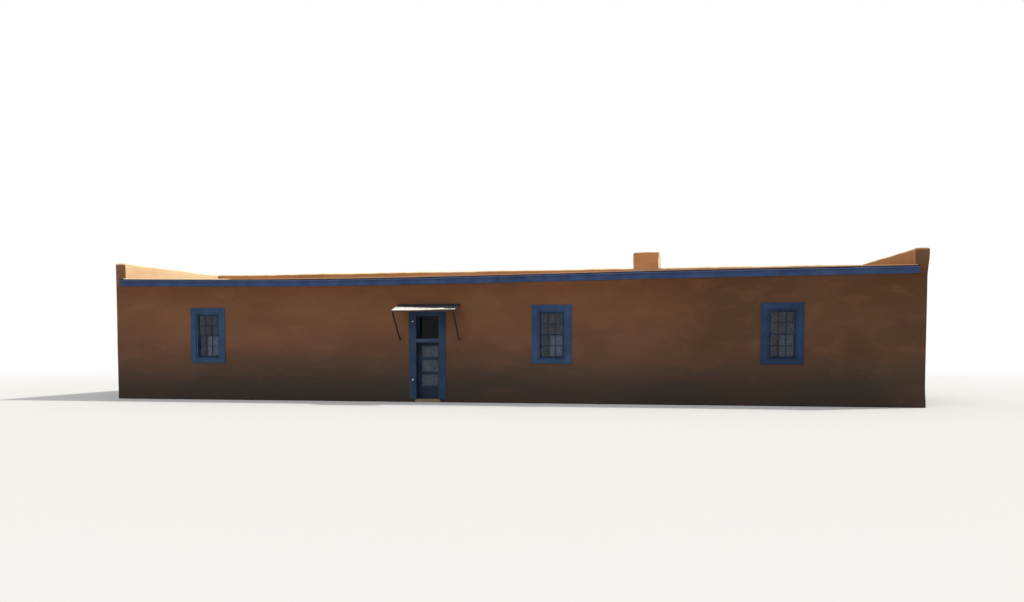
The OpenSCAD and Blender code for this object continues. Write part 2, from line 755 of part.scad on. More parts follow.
module canopy_front_rail() color("#5b4636")
    run_x(canopy_x - timber_x - canopy_timber / 2, canopy_x + timber_x + canopy_timber / 2)
        polygon([[rail_y0 - canopy_timber, canopy_z(rail_y0 - canopy_timber)], [rail_y0, canopy_z(rail_y0)],
                 [rail_y0, canopy_z(rail_y0) - under_sheet],
                 [rail_y0 - canopy_timber, canopy_z(rail_y0 - canopy_timber) - under_sheet]]);

// Struts from the wall up to the underside of the front rail
module canopy_struts() color("#3c3029") for (side = [-1, 1]) {
    head_y = rail_y0 - canopy_timber / 2;
    run = front_y - head_y;
    rise = canopy_z(head_y) - under_sheet - strut_foot_z;
    lean = strut_t * sqrt(run * run + rise * rise) / run;
    run_x(canopy_x + side * timber_x - strut_t / 2, canopy_x + side * timber_x + strut_t / 2)
        polygon([[front_y, strut_foot_z], [front_y, strut_foot_z - lean],
                 [head_y - canopy_timber / 2, strut_foot_z - lean + rise - seat],
                 [head_y - canopy_timber / 2, canopy_z(head_y - canopy_timber / 2) - under_sheet - seat],
                 [head_y, canopy_z(head_y) - under_sheet - seat]]);
}

floor_slab();
front_wall_left();
front_wall_over_door();
front_wall_right();
left_end_wall();
right_end_wall();
back_wall();
ceiling_logs();
roof_boards();
roof_coating();
parapet_coves();
fascia_boards();
chimney_stack();
front_window_casings();
front_window_frames();
front_upper_sashes();
front_lower_sashes();
front_window_glass();
window_curtains();
curtain_rods();
back_window_casings();
back_window_frames();
back_upper_sashes();
back_lower_sashes();
back_window_glass();
door_casings();
door_frame();
door_transom_bar();
transom_sash();
transom_glass();
door_threshold();
door_stops();
door_leaf();
door_glass();
door_curtain();
door_curtain_rods();
door_knob();
jamb_hinges();
leaf_hinges();
canopy_sheet();
canopy_ledger();
canopy_rafters();
canopy_front_rail();
canopy_struts();
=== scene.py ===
import bmesh
import bpy
import math
import numpy as np
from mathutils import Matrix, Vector


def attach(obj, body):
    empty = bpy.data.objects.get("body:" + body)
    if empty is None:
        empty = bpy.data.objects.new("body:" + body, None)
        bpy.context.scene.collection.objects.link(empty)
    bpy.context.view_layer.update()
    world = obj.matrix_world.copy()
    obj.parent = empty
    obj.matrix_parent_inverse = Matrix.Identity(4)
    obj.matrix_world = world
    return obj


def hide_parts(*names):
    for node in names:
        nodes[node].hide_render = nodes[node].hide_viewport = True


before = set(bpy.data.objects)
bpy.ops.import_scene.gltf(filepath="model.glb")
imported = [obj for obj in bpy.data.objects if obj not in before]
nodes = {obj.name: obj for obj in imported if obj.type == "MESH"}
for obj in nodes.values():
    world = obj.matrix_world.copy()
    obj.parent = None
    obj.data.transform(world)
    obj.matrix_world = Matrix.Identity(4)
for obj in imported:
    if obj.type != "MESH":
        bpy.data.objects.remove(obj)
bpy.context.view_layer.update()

# ---------------------------------------------------------------- camera
# Eye height, 26 m in front of the wall and a little right of the chimney
cam_data = bpy.data.cameras.new("view")
cam_data.sensor_width = 36.0
cam_data.lens = 27.984
cam_data.shift_y = 83 / 1024  # 83 of the frame's 1024 pixels
cam_data.clip_start, cam_data.clip_end = 0.1, 2000
camera = bpy.data.objects.new("view", cam_data)
bpy.context.collection.objects.link(camera)
camera.location = (5.386, -29.269, 1.772)
camera.rotation_euler = (math.radians(90 - 2.468), 0, math.radians(9.88))
bpy.context.scene.camera = camera
bpy.context.scene.view_settings.view_transform = "Standard"


# ---------------------------------------------------------------- how a finish is made
def linear(code):
    """sRGB hex code to linear RGBA: v/12.92 below 0.04045, else ((v + 0.055)/1.055)^2.4."""
    v = [int(code[i:i + 2], 16) / 255 for i in (1, 3, 5)]
    return [c / 12.92 if c <= 0.04045 else ((c + 0.055) / 1.055) ** 2.4 for c in v] + [1.0]


def add(t, kind, out=0, stops=(), **sets):
    """Adds one node and gives its output. A key is a field of the node, a socket's name, or s and a socket's
    number; its value is plain, a hex colour or another node's output. Stops are a ramp's places, each with a hex
    colour or a grey."""
    n = t.nodes.new("ShaderNode" + kind)
    for key, value in sets.items():
        if hasattr(n, key):
            setattr(n, key, value)
            continue
        socket = n.inputs[int(key[1:]) if key[1:].isdigit() else key.replace("_", " ")]
        if isinstance(value, bpy.types.NodeSocket):
            t.links.new(value, socket)
        else:
            socket.default_value = linear(value) if isinstance(value, str) else value
    for i, (place, value) in enumerate(stops):
        stop = n.color_ramp.elements[i] if i < 2 else n.color_ramp.elements.new(place)
        stop.position = place
        stop.color = linear(value) if isinstance(value, str) else [value] * 3 + [1.0]
    return n if out is None else n.outputs[out]


def material(name, roughness, metallic=0.0, specular=0.5):
    """A material with its tree, its shader and its object coordinates."""
    m = bpy.data.materials.new(name)
    m.use_nodes = True
    t = m.node_tree
    shader = t.nodes["Principled BSDF"]
    shader.inputs["Roughness"].default_value = roughness
    shader.inputs["Metallic"].default_value = metallic
    shader.inputs["Specular IOR Level"].default_value = specular
    return m, t, shader, add(t, "TexCoord", "Object")


def finish(t, shader, colour, height, depth, rough=None):
    """Gives the shader its colour, a relief of a real depth in metres and its roughness."""
    t.links.new(colour, shader.inputs["Base Color"])
    t.links.new(add(t, "Bump", Height=height, Distance=depth), shader.inputs["Normal"])
    if rough is not None:
        t.links.new(rough, shader.inputs["Roughness"])


# ---------------------------------------------------------------- finishes
TONES_END = 5.0  # height in metres at which a plaster's ramp of tones ends


def mud_plaster(name, tones, stain, pale, crest=None, right_shade=None):
    """Hand-trowelled mud plaster: a tone for each height, clouds of stain 1.6 m high, the hand's sweeps of 400 mm
    and patches of later mud 2.5 m high, all about twice as long as high, and grit of 30 mm, coarse enough to show.
    The foot, washed by splashed rain, keeps a third of them. A crest is painted pale as sunlight falling on it, and
    the right third is darker as painted shade."""
    m, t, s, p = material(name, 0.95, specular=0.12)
    flat = add(t, "Mapping", Vector=p, Scale=(0.45, 0.45, 1.0))
    cloud = add(t, "TexNoise", "Fac", Vector=flat, Scale=1 / 1.6, Detail=5, Roughness=0.55)
    sweep = add(t, "TexNoise", "Fac", Vector=flat, Scale=1 / 0.4, Detail=3, Roughness=0.55, Distortion=0.6)
    patch = add(t, "TexNoise", "Fac", Vector=flat, Scale=1 / 2.5, Detail=2, Roughness=0.4, Distortion=0.4)
    grit = add(t, "TexNoise", "Fac", Vector=p, Scale=1 / 0.03, Detail=3, Roughness=0.7)
    high = add(t, "SeparateXYZ", "Z", Vector=p)
    wander = add(t, "Math", operation="MULTIPLY_ADD", s0=cloud, s1=0.24, s2=-0.12)
    high = add(t, "Math", operation="ADD", s0=high, s1=wander)
    # painted shade: the right third is drawn darker, its tones shifted down and its colour multiplied
    if right_shade:
        right = right_part(t, p, wander)
        high = add(t, "Math", operation="MULTIPLY_ADD", s0=right, s1=-0.16, s2=high)
    high = add(t, "Math", operation="DIVIDE", s0=high, s1=TONES_END)
    above_foot = add(t, "ValToRGB", Fac=high, stops=[(0.12, 0.35), (0.34, 1.0)])
    colour = add(t, "ValToRGB", Fac=high, stops=tones)
    if right_shade:
        share = add(t, "Math", operation="MULTIPLY", s0=right, s1=above_foot)
        colour = add(t, "Mix", 2, data_type="RGBA", blend_type="MULTIPLY", s0=share, s6=colour, s7=right_shade)
    even = colour
    share = add(t, "ValToRGB", Fac=cloud, stops=[(0.36, 0.45), (0.56, 0.0)])
    colour = add(t, "Mix", 2, data_type="RGBA", s0=share, s6=colour, s7=stain)
    share = add(t, "ValToRGB", Fac=patch, stops=[(0.5, 0.0), (0.62, 0.16)])
    colour = add(t, "Mix", 2, data_type="RGBA", s0=share, s6=colour, s7=pale)
    share = add(t, "ValToRGB", Fac=sweep, stops=[(0.5, 0.0), (0.75, 0.22)])
    colour = add(t, "Mix", 2, data_type="RGBA", s0=share, s6=colour, s7=pale)
    colour = add(t, "Mix", 2, data_type="RGBA", s0=above_foot, s6=even, s7=colour)
    share = add(t, "ValToRGB", Fac=grit, stops=[(0.32, 0.5), (0.5, 0.0)])
    colour = add(t, "Mix", 2, data_type="RGBA", s0=share, s6=colour, s7=stain)
    # painted sunlight: where the crest number is high the colour turns to the crest colour, as the sun falls on it
    if crest:
        worn = add(t, "Attribute", "Fac", attribute_name="crest")
        worn = add(t, "Math", operation="MULTIPLY_ADD", s0=sweep, s1=0.5, s2=worn)
        worn = add(t, "ValToRGB", Fac=worn, stops=[(0.75, 0.0), (0.95, 1.0)])
        colour = add(t, "Mix", 2, data_type="RGBA", s0=worn, s6=colour, s7=crest)
    relief = add(t, "Math", operation="MULTIPLY_ADD", s0=grit, s1=0.3, s2=sweep)
    finish(t, s, colour, relief, 0.007)
    return m


def right_part(t, p, wander):
    """0 over the left two thirds of the house and 1 at its right end, with a wandering border 3 m wide. The ramp
    covers 30 m, with the middle of the house at its half."""
    side = add(t, "SeparateXYZ", "X", Vector=p)
    side = add(t, "Math", operation="MULTIPLY_ADD", s0=side, s1=1 / 30, s2=0.5)
    side = add(t, "Math", operation="MULTIPLY_ADD", s0=wander, s1=0.22, s2=side)
    return add(t, "ValToRGB", Fac=side, stops=[(0.65, 0.0), (0.745, 0.92), (0.98, 1.0)])


def painted_wood(name, base, worn, bare, along, edges=None, right_shade=None):
    """Boards brushed with oil paint: chalked patches 500 mm across, grain that shows through, drawn at 14 mm so
    that it can be seen, and spots of 60 mm worn to bare wood. Where edges are given, the board's own v runs up from
    its worn lower arris past a dark run and a chalked one to its upper edge, painted dark as the shadow of the
    roof's lip. Where asked, the right third is darker as painted shade."""
    m, t, s, p = material(name, 0.72, specular=0.16)
    drawn = add(t, "Mapping", Vector=p, Scale=along)
    chalk = add(t, "TexNoise", "Fac", Vector=p, Scale=1 / 0.5, Detail=5, Roughness=0.6)
    grain = add(t, "TexNoise", "Fac", Vector=drawn, Scale=1 / 0.014, Detail=4, Roughness=0.65, Distortion=0.4)
    spots = add(t, "TexNoise", "Fac", Vector=drawn, Scale=1 / 0.06, Detail=5, Roughness=0.7)
    colour = add(t, "ValToRGB", Fac=chalk, stops=[(0.38, base), (0.72, worn)])
    share = add(t, "ValToRGB", Fac=grain, stops=[(0.52, 0.0), (0.78, 0.4)])
    colour = add(t, "Mix", 2, data_type="RGBA", s0=share, s6=colour, s7=worn)
    share = add(t, "ValToRGB", Fac=spots, stops=[(0.64, 0.0), (0.74, 0.7)])
    colour = add(t, "Mix", 2, data_type="RGBA", s0=share, s6=colour, s7=bare)
    # painted shade: the right third is multiplied darker
    if right_shade:
        right = right_part(t, p, 0.0)
        colour = add(t, "Mix", 2, data_type="RGBA", blend_type="MULTIPLY", s0=right, s6=colour, s7=right_shade)
    if edges:
        arris, dark_run, chalk_run, lip_shadow = edges
        v = add(t, "SeparateXYZ", "Y", Vector=add(t, "UVMap"))
        v = add(t, "Math", operation="MULTIPLY_ADD", s0=spots, s1=0.16, s2=v)
        share = add(t, "ValToRGB", Fac=v, stops=[
            (0.0, 0.8), (0.17, 0.0), (0.56, 0.0), (0.7, 0.45), (0.8, 0.05), (0.9, 0.4), (0.97, 0.9)])
        # the last run paints the shadow that the roof's lip casts on the board's top
        runs = add(t, "ValToRGB", Fac=v, stops=[
            (0.3, arris), (0.5, dark_run), (0.8, dark_run), (0.86, chalk_run), (0.93, chalk_run), (0.96, lip_shadow)])
        colour = add(t, "Mix", 2, data_type="RGBA", s0=share, s6=colour, s7=runs)
    finish(t, s, colour, grain, 0.0015)
    return m


def bare_wood(name, base, dark, pale, along, grain=0.018, boards=None):
    """Sawn or peeled timber greyed by weather: long grain, coarse enough to show, knots every 250 mm, darker clouds
    of 350 mm and, on boards laid side by side across a given way at a given width, a tone of its own for each."""
    m, t, s, p = material(name, 0.85, specular=0.2)
    drawn = add(t, "Mapping", Vector=p, Scale=along)
    lines_of = add(t, "TexNoise", "Fac", Vector=drawn, Scale=1 / grain, Detail=5, Roughness=0.7, Distortion=0.6)
    cloud = add(t, "TexNoise", "Fac", Vector=p, Scale=1 / 0.35, Detail=4, Roughness=0.6)
    knot = add(t, "TexVoronoi", "Distance", Vector=drawn, Scale=1 / 0.25)
    colour = add(t, "ValToRGB", Fac=lines_of, stops=[(0.3, dark), (0.55, base), (0.8, pale)])
    share = add(t, "ValToRGB", Fac=cloud, stops=[(0.45, 0.0), (0.75, 0.5)])
    colour = add(t, "Mix", 2, data_type="RGBA", s0=share, s6=colour, s7=dark)
    share = add(t, "ValToRGB", Fac=knot, stops=[(0.05, 0.7), (0.14, 0.0)])
    colour = add(t, "Mix", 2, data_type="RGBA", s0=share, s6=colour, s7=dark)
    if boards:
        across, width = boards
        which = add(t, "SeparateXYZ", across, Vector=p)
        which = add(t, "Math", operation="DIVIDE", s0=which, s1=width)
        which = add(t, "Math", operation="FLOOR", s0=which)
        tone = add(t, "TexWhiteNoise", "Value", noise_dimensions="1D", W=which)
        share = add(t, "ValToRGB", Fac=tone, stops=[(0.0, 0.0), (1.0, 0.45)])
        colour = add(t, "Mix", 2, data_type="RGBA", s0=share, s6=colour, s7=pale)
    finish(t, s, colour, lines_of, 0.003)
    return m


def trowelled(name, base, dark, pale, cloud_size=0.9):
    """Trowelled mud and lime, swept smooth, with dust clouds, grit of 35 mm, coarse enough to show, and stains
    2.2 m across where water stood."""
    m, t, s, p = material(name, 0.92, specular=0.15)
    cloud = add(t, "TexNoise", "Fac", Vector=p, Scale=1 / cloud_size, Detail=6, Roughness=0.6, Distortion=0.6)
    pool = add(t, "TexNoise", "Fac", Vector=p, Scale=1 / 2.2, Detail=4, Roughness=0.5, Distortion=1.0)
    grit = add(t, "TexNoise", "Fac", Vector=p, Scale=1 / 0.035, Detail=3, Roughness=0.6)
    colour = add(t, "ValToRGB", Fac=cloud, stops=[(0.32, dark), (0.55, base), (0.75, pale)])
    share = add(t, "ValToRGB", Fac=pool, stops=[(0.55, 0.0), (0.6, 0.3), (0.72, 0.15)])
    colour = add(t, "Mix", 2, data_type="RGBA", s0=share, s6=colour, s7=dark)
    share = add(t, "ValToRGB", Fac=grit, stops=[(0.32, 0.3), (0.48, 0.0)])
    colour = add(t, "Mix", 2, data_type="RGBA", s0=share, s6=colour, s7=dark)
    finish(t, s, colour, add(t, "Math", operation="MULTIPLY_ADD", s0=grit, s1=0.4, s2=cloud), 0.006)
    return m


def old_glass(name, tint, dust, ior, film):
    """Drawn window glass: slow waves 200 mm across, and a film of dust in runs 120 mm wide."""
    m, t, s, p = material(name, 0.04)
    s.inputs["IOR"].default_value = ior
    wave = add(t, "TexNoise", "Fac", Vector=p, Scale=1 / 0.2, Detail=2, Roughness=0.4)
    down = add(t, "Mapping", Vector=p, Scale=(1.0, 1.0, 0.35))
    runs = add(t, "TexNoise", "Fac", Vector=down, Scale=1 / 0.12, Detail=5, Roughness=0.65)
    share = add(t, "ValToRGB", Fac=runs, stops=[(0.35, 1.0), (0.7, film)])
    t.links.new(share, s.inputs["Transmission Weight"])
    finish(t, s, add(t, "ValToRGB", Fac=runs, stops=[(0.3, tint), (0.7, dust)]), wave, 0.001,
           add(t, "ValToRGB", Fac=runs, stops=[(0.35, 0.03), (0.75, 0.18)]))
    return m


def cotton_lace(name, net, thread):
    """Machine lace: rounds of thread every 45 mm, coarse enough to show, on an open net, both dulled by dust, with
    a little sheen."""
    m, t, s, p = material(name, 0.9, specular=0.1)
    s.inputs["Sheen Weight"].default_value = 0.15
    cell = add(t, "TexVoronoi", "Distance", Vector=p, Scale=1 / 0.045)
    cloud = add(t, "TexNoise", "Fac", Vector=p, Scale=1 / 0.12, Detail=3)
    rounds = add(t, "ValToRGB", Fac=cell, stops=[(0.18, 1.0), (0.42, 0.0)])
    ground = add(t, "ValToRGB", Fac=cloud, stops=[(0.3, net[0]), (0.7, net[1])])
    finish(t, s, add(t, "Mix", 2, data_type="RGBA", s0=rounds, s6=ground, s7=thread), cell, 0.002)
    return m


def metal(name, base, dark, rough, metallic, size=0.06):
    """Metal or glaze with its tarnish in soft blotches, rougher where it is darker."""
    m, t, s, p = material(name, rough, metallic)
    blotch = add(t, "TexNoise", "Fac", Vector=p, Scale=1 / size, Detail=5, Roughness=0.65)
    finish(t, s, add(t, "ValToRGB", Fac=blotch, stops=[(0.38, base), (0.68, dark)]), blotch, 0.0006,
           add(t, "ValToRGB", Fac=blotch, stops=[(0.35, rough), (0.7, rough + 0.25)]))
    return m


def canopy_steel():
    """Corrugated roofing: pale zinc in front, and by the wall painted dark as the shade that the roof's edge casts
    on it, with an uneven border that creeps forward along the furrows and most at the right."""
    m, t, s, p = material("galvanised_corrugated_steel_shade_painted", 0.6, 0.2, 0.3)
    x, y = add(t, "SeparateXYZ", "X", Vector=p), add(t, "SeparateXYZ", "Y", Vector=p)
    furrow = add(t, "Mapping", Vector=p, Scale=(1.0, 0.25, 1.0))
    streak = add(t, "TexNoise", "Fac", Vector=furrow, Scale=1 / 0.09, Detail=5, Roughness=0.65)
    patch = add(t, "TexNoise", "Fac", Vector=p, Scale=1 / 0.5, Detail=3)
    grit = add(t, "TexNoise", "Fac", Vector=p, Scale=1 / 0.02, Detail=4, Roughness=0.6)
    border = add(t, "Math", operation="MULTIPLY_ADD", s0=x, s1=0.17, s2=y)
    border = add(t, "Math", operation="MULTIPLY_ADD", s0=streak, s1=0.35, s2=border)
    border = add(t, "Math", operation="MULTIPLY_ADD", s0=patch, s1=0.4, s2=border)
    border = add(t, "Math", operation="ADD", s0=border, s1=4.27)
    # painted shade: the sheet by the wall turns to dark zinc
    shade_share = add(t, "ValToRGB", Fac=border, stops=[(0.42, 0.0), (0.52, 1.0)])
    zinc = add(t, "ValToRGB", Fac=grit, stops=[(0.35, "#dcd8cf"), (0.7, "#f0ede4")])
    brown = add(t, "ValToRGB", Fac=streak, stops=[(0.35, "#16171b"), (0.55, "#262a2d"), (0.78, "#3d3a38")])
    finish(t, s, add(t, "Mix", 2, data_type="RGBA", s0=shade_share, s6=zinc, s7=brown), grit, 0.0008)
    return m


# Ways that grain runs: it is drawn out to 17 times its width
GRAIN_X = (0.06, 1.0, 1.0)
GRAIN_Y = (1.0, 0.06, 1.0)
GRAIN_Z = (1.0, 1.0, 0.06)

# Mud plaster put on by hand: quite matt and warm brown; its tones and the copies below also paint light and shade
# The wall's tones by height paint shade: darker towards the foot, a dark band of painted shadow under the fascia at
# about 3.9 m, paler at the parapets as painted light thrown up from the roof
wall_plaster = mud_plaster("mud_plaster_trowelled", [
    (0.0, "#37312c"), (0.12, "#3c3530"), (0.224, "#4d3d33"), (0.328, "#5f4435"), (0.432, "#704d3a"),
    (0.588, "#744f37"), (0.7, "#6e4a31"), (0.78, "#6b4129"), (0.86, "#845a42"), (0.96, "#8e6751")],
    "#523a2b", "#84593f", crest="#e2bd93", right_shade="#c6ccc8")
# Lit and shaded copies of one mud: the sunny one paints sunlight on the left parapet's inner face, the back one
# paints shade, lit from the roof, on the back and right parapets' inner faces
sunny_plaster = mud_plaster("mud_plaster_painted_sunlight", [(0.85, "#e9cba4"), (1.0, "#f1dab4")],
                            "#d8ad80", "#fbe6c4", crest="#fff0d2")
back_plaster = mud_plaster("mud_plaster_painted_shade", [(0.85, "#a9794f"), (1.0, "#b58459")],
                           "#8e603c", "#cb9c70", crest="#fae3bd")
# The chimney's plaster is a paler copy that paints light thrown up from the sunlit roof
chimney_plaster = mud_plaster("mud_plaster_chimney", [(0.85, "#b87b4f"), (1.0, "#c28659")],
                              "#a36c43", "#d29d6e", crest="#fdecd2")
inner_plaster = mud_plaster("mud_plaster_smoothed", [(0.0, "#54453a"), (0.5, "#6b5745")], "#4a3b30", "#7f6a55")
# The lip's crest colour is painted sunlight, strongest at the left end
lip_coat = mud_plaster("mud_lime_edge_weathered_and_painted_sunlight", [(0.8, "#b08467"), (0.9, "#bd9273")],
                       "#8c6147", "#dcb795", crest="#f7dcb4")
# Trowelled earth, and mud with lime: smoother and dusty, with faint clouds
earth_floor = trowelled("earth_floor_trowelled", "#8c7a66", "#6f5f4e", "#a29078")
roof_coat = trowelled("mud_lime_coating_trowelled", "#cfae83", "#b8946a", "#dcc29b", 1.4)
# Pine in brushed oil paint: a dull chalky blue, with the grain in relief and bare spots
# The casings and frames are darkened over the right third as painted shade
blue_z = painted_wood("pine_board_blue_oil_paint_upright", "#263b59", "#344c6c", "#454341", GRAIN_Z, right_shade="#d0d2d8")
door_blue = painted_wood("pine_door_casing_blue_oil_paint", "#23354b", "#2e435b", "#403d3b", GRAIN_Z)
# The fascia's last edge colour is painted shadow under the roof's lip
fascia_paint = painted_wood("pine_fascia_blue_oil_paint", "#2a3b5e", "#394d73", "#45423f", GRAIN_X,
                            ("#6a5a50", "#161f2e", "#636a80", "#151015"))
pale_blue = painted_wood("pine_bar_pale_blue_oil_paint", "#2f3950", "#3e4963", "#5b5148", GRAIN_X)
sash_paint = painted_wood("pine_sash_dark_blue_paint", "#152234", "#24344a", "#3a3733", GRAIN_Z)
# The door's frame, stops, leaf and transom sash are painted darker than the casings as shade in the doorway's
# recess
leaf_paint = painted_wood("pine_door_leaf_blue_paint_recess_shade", "#222d3e", "#2f3e53", "#3a3631", GRAIN_Z)
# Bare pine: grey brown, with dark lines and knots
log_wood = bare_wood("pine_log_peeled_aged", "#7c5c3e", "#4f3826", "#9a7a56", GRAIN_Y, 0.03)
board_wood = bare_wood("pine_roof_boards_rough_sawn", "#7b6044", "#4e3b2a", "#98805f", GRAIN_X, 0.02,
                       boards=("Y", 0.2))
canopy_wood = bare_wood("pine_canopy_timber_weathered", "#4f4034", "#2e251e", "#6f6152", GRAIN_X, 0.014)
strut_wood = bare_wood("pine_strut_dark_stained", "#1f1d1f", "#121112", "#332f2d", GRAIN_Z, 0.012)
# Drawn glass: clear, a little wavy, greyed by dust, and with low reflections
glass = old_glass("drawn_window_glass_dusty", "#a0b1c6", "#8798aa", 1.38, 0.94)
leaf_glass = old_glass("drawn_door_glass_dusty", "#b4bfcc", "#9aa6b2", 1.3, 0.95)
dark_glass = old_glass("drawn_transom_glass", "#6d7478", "#6b7074", 1.2, 0.98)
# Cotton lace: soft and matt, white rounds on a greyer net
lace_cloth = cotton_lace("cotton_lace_cloth", ("#b9bcbc", "#d3d5d2"), "#f1f1ea")
# The right window's lace is a darker copy of the same lace that paints shade
shaded_lace = cotton_lace("cotton_lace_cloth_painted_shade", ("#7c7a78", "#8c8b88"), "#a19f9b")
leaf_cloth = cotton_lace("cotton_lace_cloth_dusty", ("#7f8283", "#9b9e9c"), "#c3c4bf")
# Glaze shines white, wrought iron is rough with brown rust, brass is a dull yellow with dark tarnish
white_china = metal("glazed_china_white", "#d9d8d0", "#c4c2b8", 0.25, 0.0, 0.09)
iron = metal("wrought_iron_rusted", "#3a322c", "#54382a", 0.6, 0.7)
brass = metal("brass_tarnished", "#8f7440", "#4e3f26", 0.35, 1.0)
steel = canopy_steel()

finish_of = {
    earth_floor: "floor_slab door_threshold",
    wall_plaster: "front_wall_left front_wall_over_door front_wall_right left_end_wall right_end_wall back_wall",
    chimney_plaster: "chimney_stack", roof_coat: "roof_coating parapet_coves",
    log_wood: "ceiling_logs", board_wood: "roof_boards", fascia_paint: "fascia_boards",
    blue_z: "front_window_casings front_window_frames back_window_casings back_window_frames",
    sash_paint: "front_upper_sashes front_lower_sashes back_upper_sashes back_lower_sashes",
    glass: "front_window_glass back_window_glass", leaf_glass: "door_glass", dark_glass: "transom_glass",
    door_blue: "door_casings", leaf_paint: "door_frame door_stops door_leaf transom_sash",
    pale_blue: "door_transom_bar",
    iron: "curtain_rods door_curtain_rods jamb_hinges leaf_hinges", brass: "door_knob",
    steel: "canopy_sheet", canopy_wood: "canopy_ledger canopy_rafters canopy_front_rail",
    strut_wood: "canopy_struts", lace_cloth: "window_curtains", leaf_cloth: "door_curtain",
}
for coat, names in finish_of.items():
    for name in names.split():
        nodes[name].data.materials.clear()
        nodes[name].data.materials.append(coat)


# ---------------------------------------------------------------- shapes
# Sizes that the solids give, in metres
LONG, DEEP, WALL, PARAPET = 13.65, 3.3, 0.5, 0.33  # half length and half depth of the house, wall and parapet
ROOF, RISE, CROWN = 4.25, 0.024, 0.615  # roof at the front, its rise a metre, parapet over the roof
BOARD_UNDER, LOG_SEAT = 0.0853, 0.2856  # boards' underside and logs' seat, down from the roof
CORNER = 0.045  # radius of the walls' corners in plan
STACK_X, STACK_Y, STACK_HALF, STACK_DEEP = 5.25, -3.02, 0.45, 0.22  # the chimney's middle and half sizes
CLEAR = 0.0006  # coating kept off the parapets and the chimney
SLIT = 0.0004  # coating and canopy sheet kept off what they lie against
# How the walls are drawn
CELL = 0.15  # cells of their grid
WAVE, WAVE_LONG = 0.008, 2.6  # depth and length of the plaster's slow waves
# SUNNY and BACK hold the painted sunlit and painted shaded copies of the parapets' inner plaster
OUTSIDE, ROOM, SUNNY, BACK = range(4)  # places of their finishes


def roof_at(y, below=0.0):
    """Height of the tilted roof at a depth y, less a distance below it."""
    return ROOF - below + RISE * (y + DEEP)


def fascia_top(x):
    """Top line of the sagging fascia over u = x / half length: ROOF - low + bow u^2 + tilt u + swell sin(pi u)."""
    low, bow, tilt, swell = 0.022, 0.095, 0.012, 0.038
    u = x / LONG
    return ROOF - low + bow * u ** 2 + tilt * u + swell * np.sin(math.pi * u)


def eased(d, r):
    """How far a rounded arris of radius r falls back at a distance d from it: r - sqrt(r^2 - (r - d)^2)."""
    return r - np.sqrt(np.clip(r * r - np.clip(r - d, 0, r) ** 2, 0, None))


def smooth(v):
    """Smooth step from 0 to 1: 3 v^2 - 2 v^3."""
    v = np.clip(v, 0, 1)
    return v * v * (3 - 2 * v)


def uneven(a, b, size, seed=0.0):
    """Four crossed and bent sine waves over (a, b), of lengths from size down to a fifth of it, about -1 to 1: the
    sum of h sin(w a + p + 0.9 sin(0.7 w b + 2 p)) cos(0.8 w b + 1.3 p)."""
    out = 0.0
    for k, (f, h) in enumerate(((1, 0.5), (1.7, 0.28), (2.9, 0.15), (4.9, 0.09))):
        w, p = 2 * math.pi * f / size, seed + 1.9 * k
        out = out + h * np.sin(w * a + p + 0.9 * np.sin(0.7 * w * b + 2 * p)) * np.cos(0.8 * w * b + 1.3 * p)
    return out


def lines(low, high, step, marks=(), ease=()):
    """Grid lines from low to high: every mark is kept, with lines at the given distances from both ends."""
    fixed = sorted({low, high, *[m for m in marks if low < m < high],
                    *[low + e for e in ease], *[high - e for e in ease]})
    out = [fixed[0]]
    for a, b in zip(fixed, fixed[1:]):
        out += list(np.linspace(a, b, max(1, math.ceil((b - a) / step - 1e-9)) + 1)[1:])
    return np.array(out)


EDGE_ANGLE = 35  # degrees past which an edge stays sharp


def piece(name, points, faces, finishes, slot, body="house", parts=None, crest=None, uv=None):
    """A mesh from arrays of points and quads, with outward normals, on its body; parts is the place of each face's
    finish, and crest a number and uv a pair for each point, which the finishes read."""
    mesh = bpy.data.meshes.new(name)
    mesh.from_pydata(points.tolist(), [], [list(dict.fromkeys(f)) for f in faces.tolist()])
    for f in finishes:
        mesh.materials.append(f)
    if parts is not None:
        mesh.polygons.foreach_set("material_index", np.asarray(parts, dtype=np.int32))
    mesh.polygons.foreach_set("use_smooth", np.ones(len(mesh.polygons), dtype=bool))
    b = bmesh.new()
    b.from_mesh(mesh)
    bmesh.ops.recalc_face_normals(b, faces=b.faces)
    b.to_mesh(mesh)
    b.free()
    mesh.set_sharp_from_angle(angle=math.radians(EDGE_ANGLE))
    if crest is not None:
        worn = mesh.attributes.new("crest", "FLOAT", "POINT")
        worn.data.foreach_set("value", np.asarray(crest, dtype=np.float32))
    if uv is not None:
        corner = np.empty(len(mesh.loops), dtype=np.int32)
        mesh.loops.foreach_get("vertex_index", corner)
        flat = np.asarray(uv)[corner].astype(np.float32).ravel()
        mesh.uv_layers.new(name="board").data.foreach_set("uv", flat)
    o = bpy.data.objects.new(name, mesh)
    bpy.context.collection.objects.link(o)
    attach(o, body)
    return o


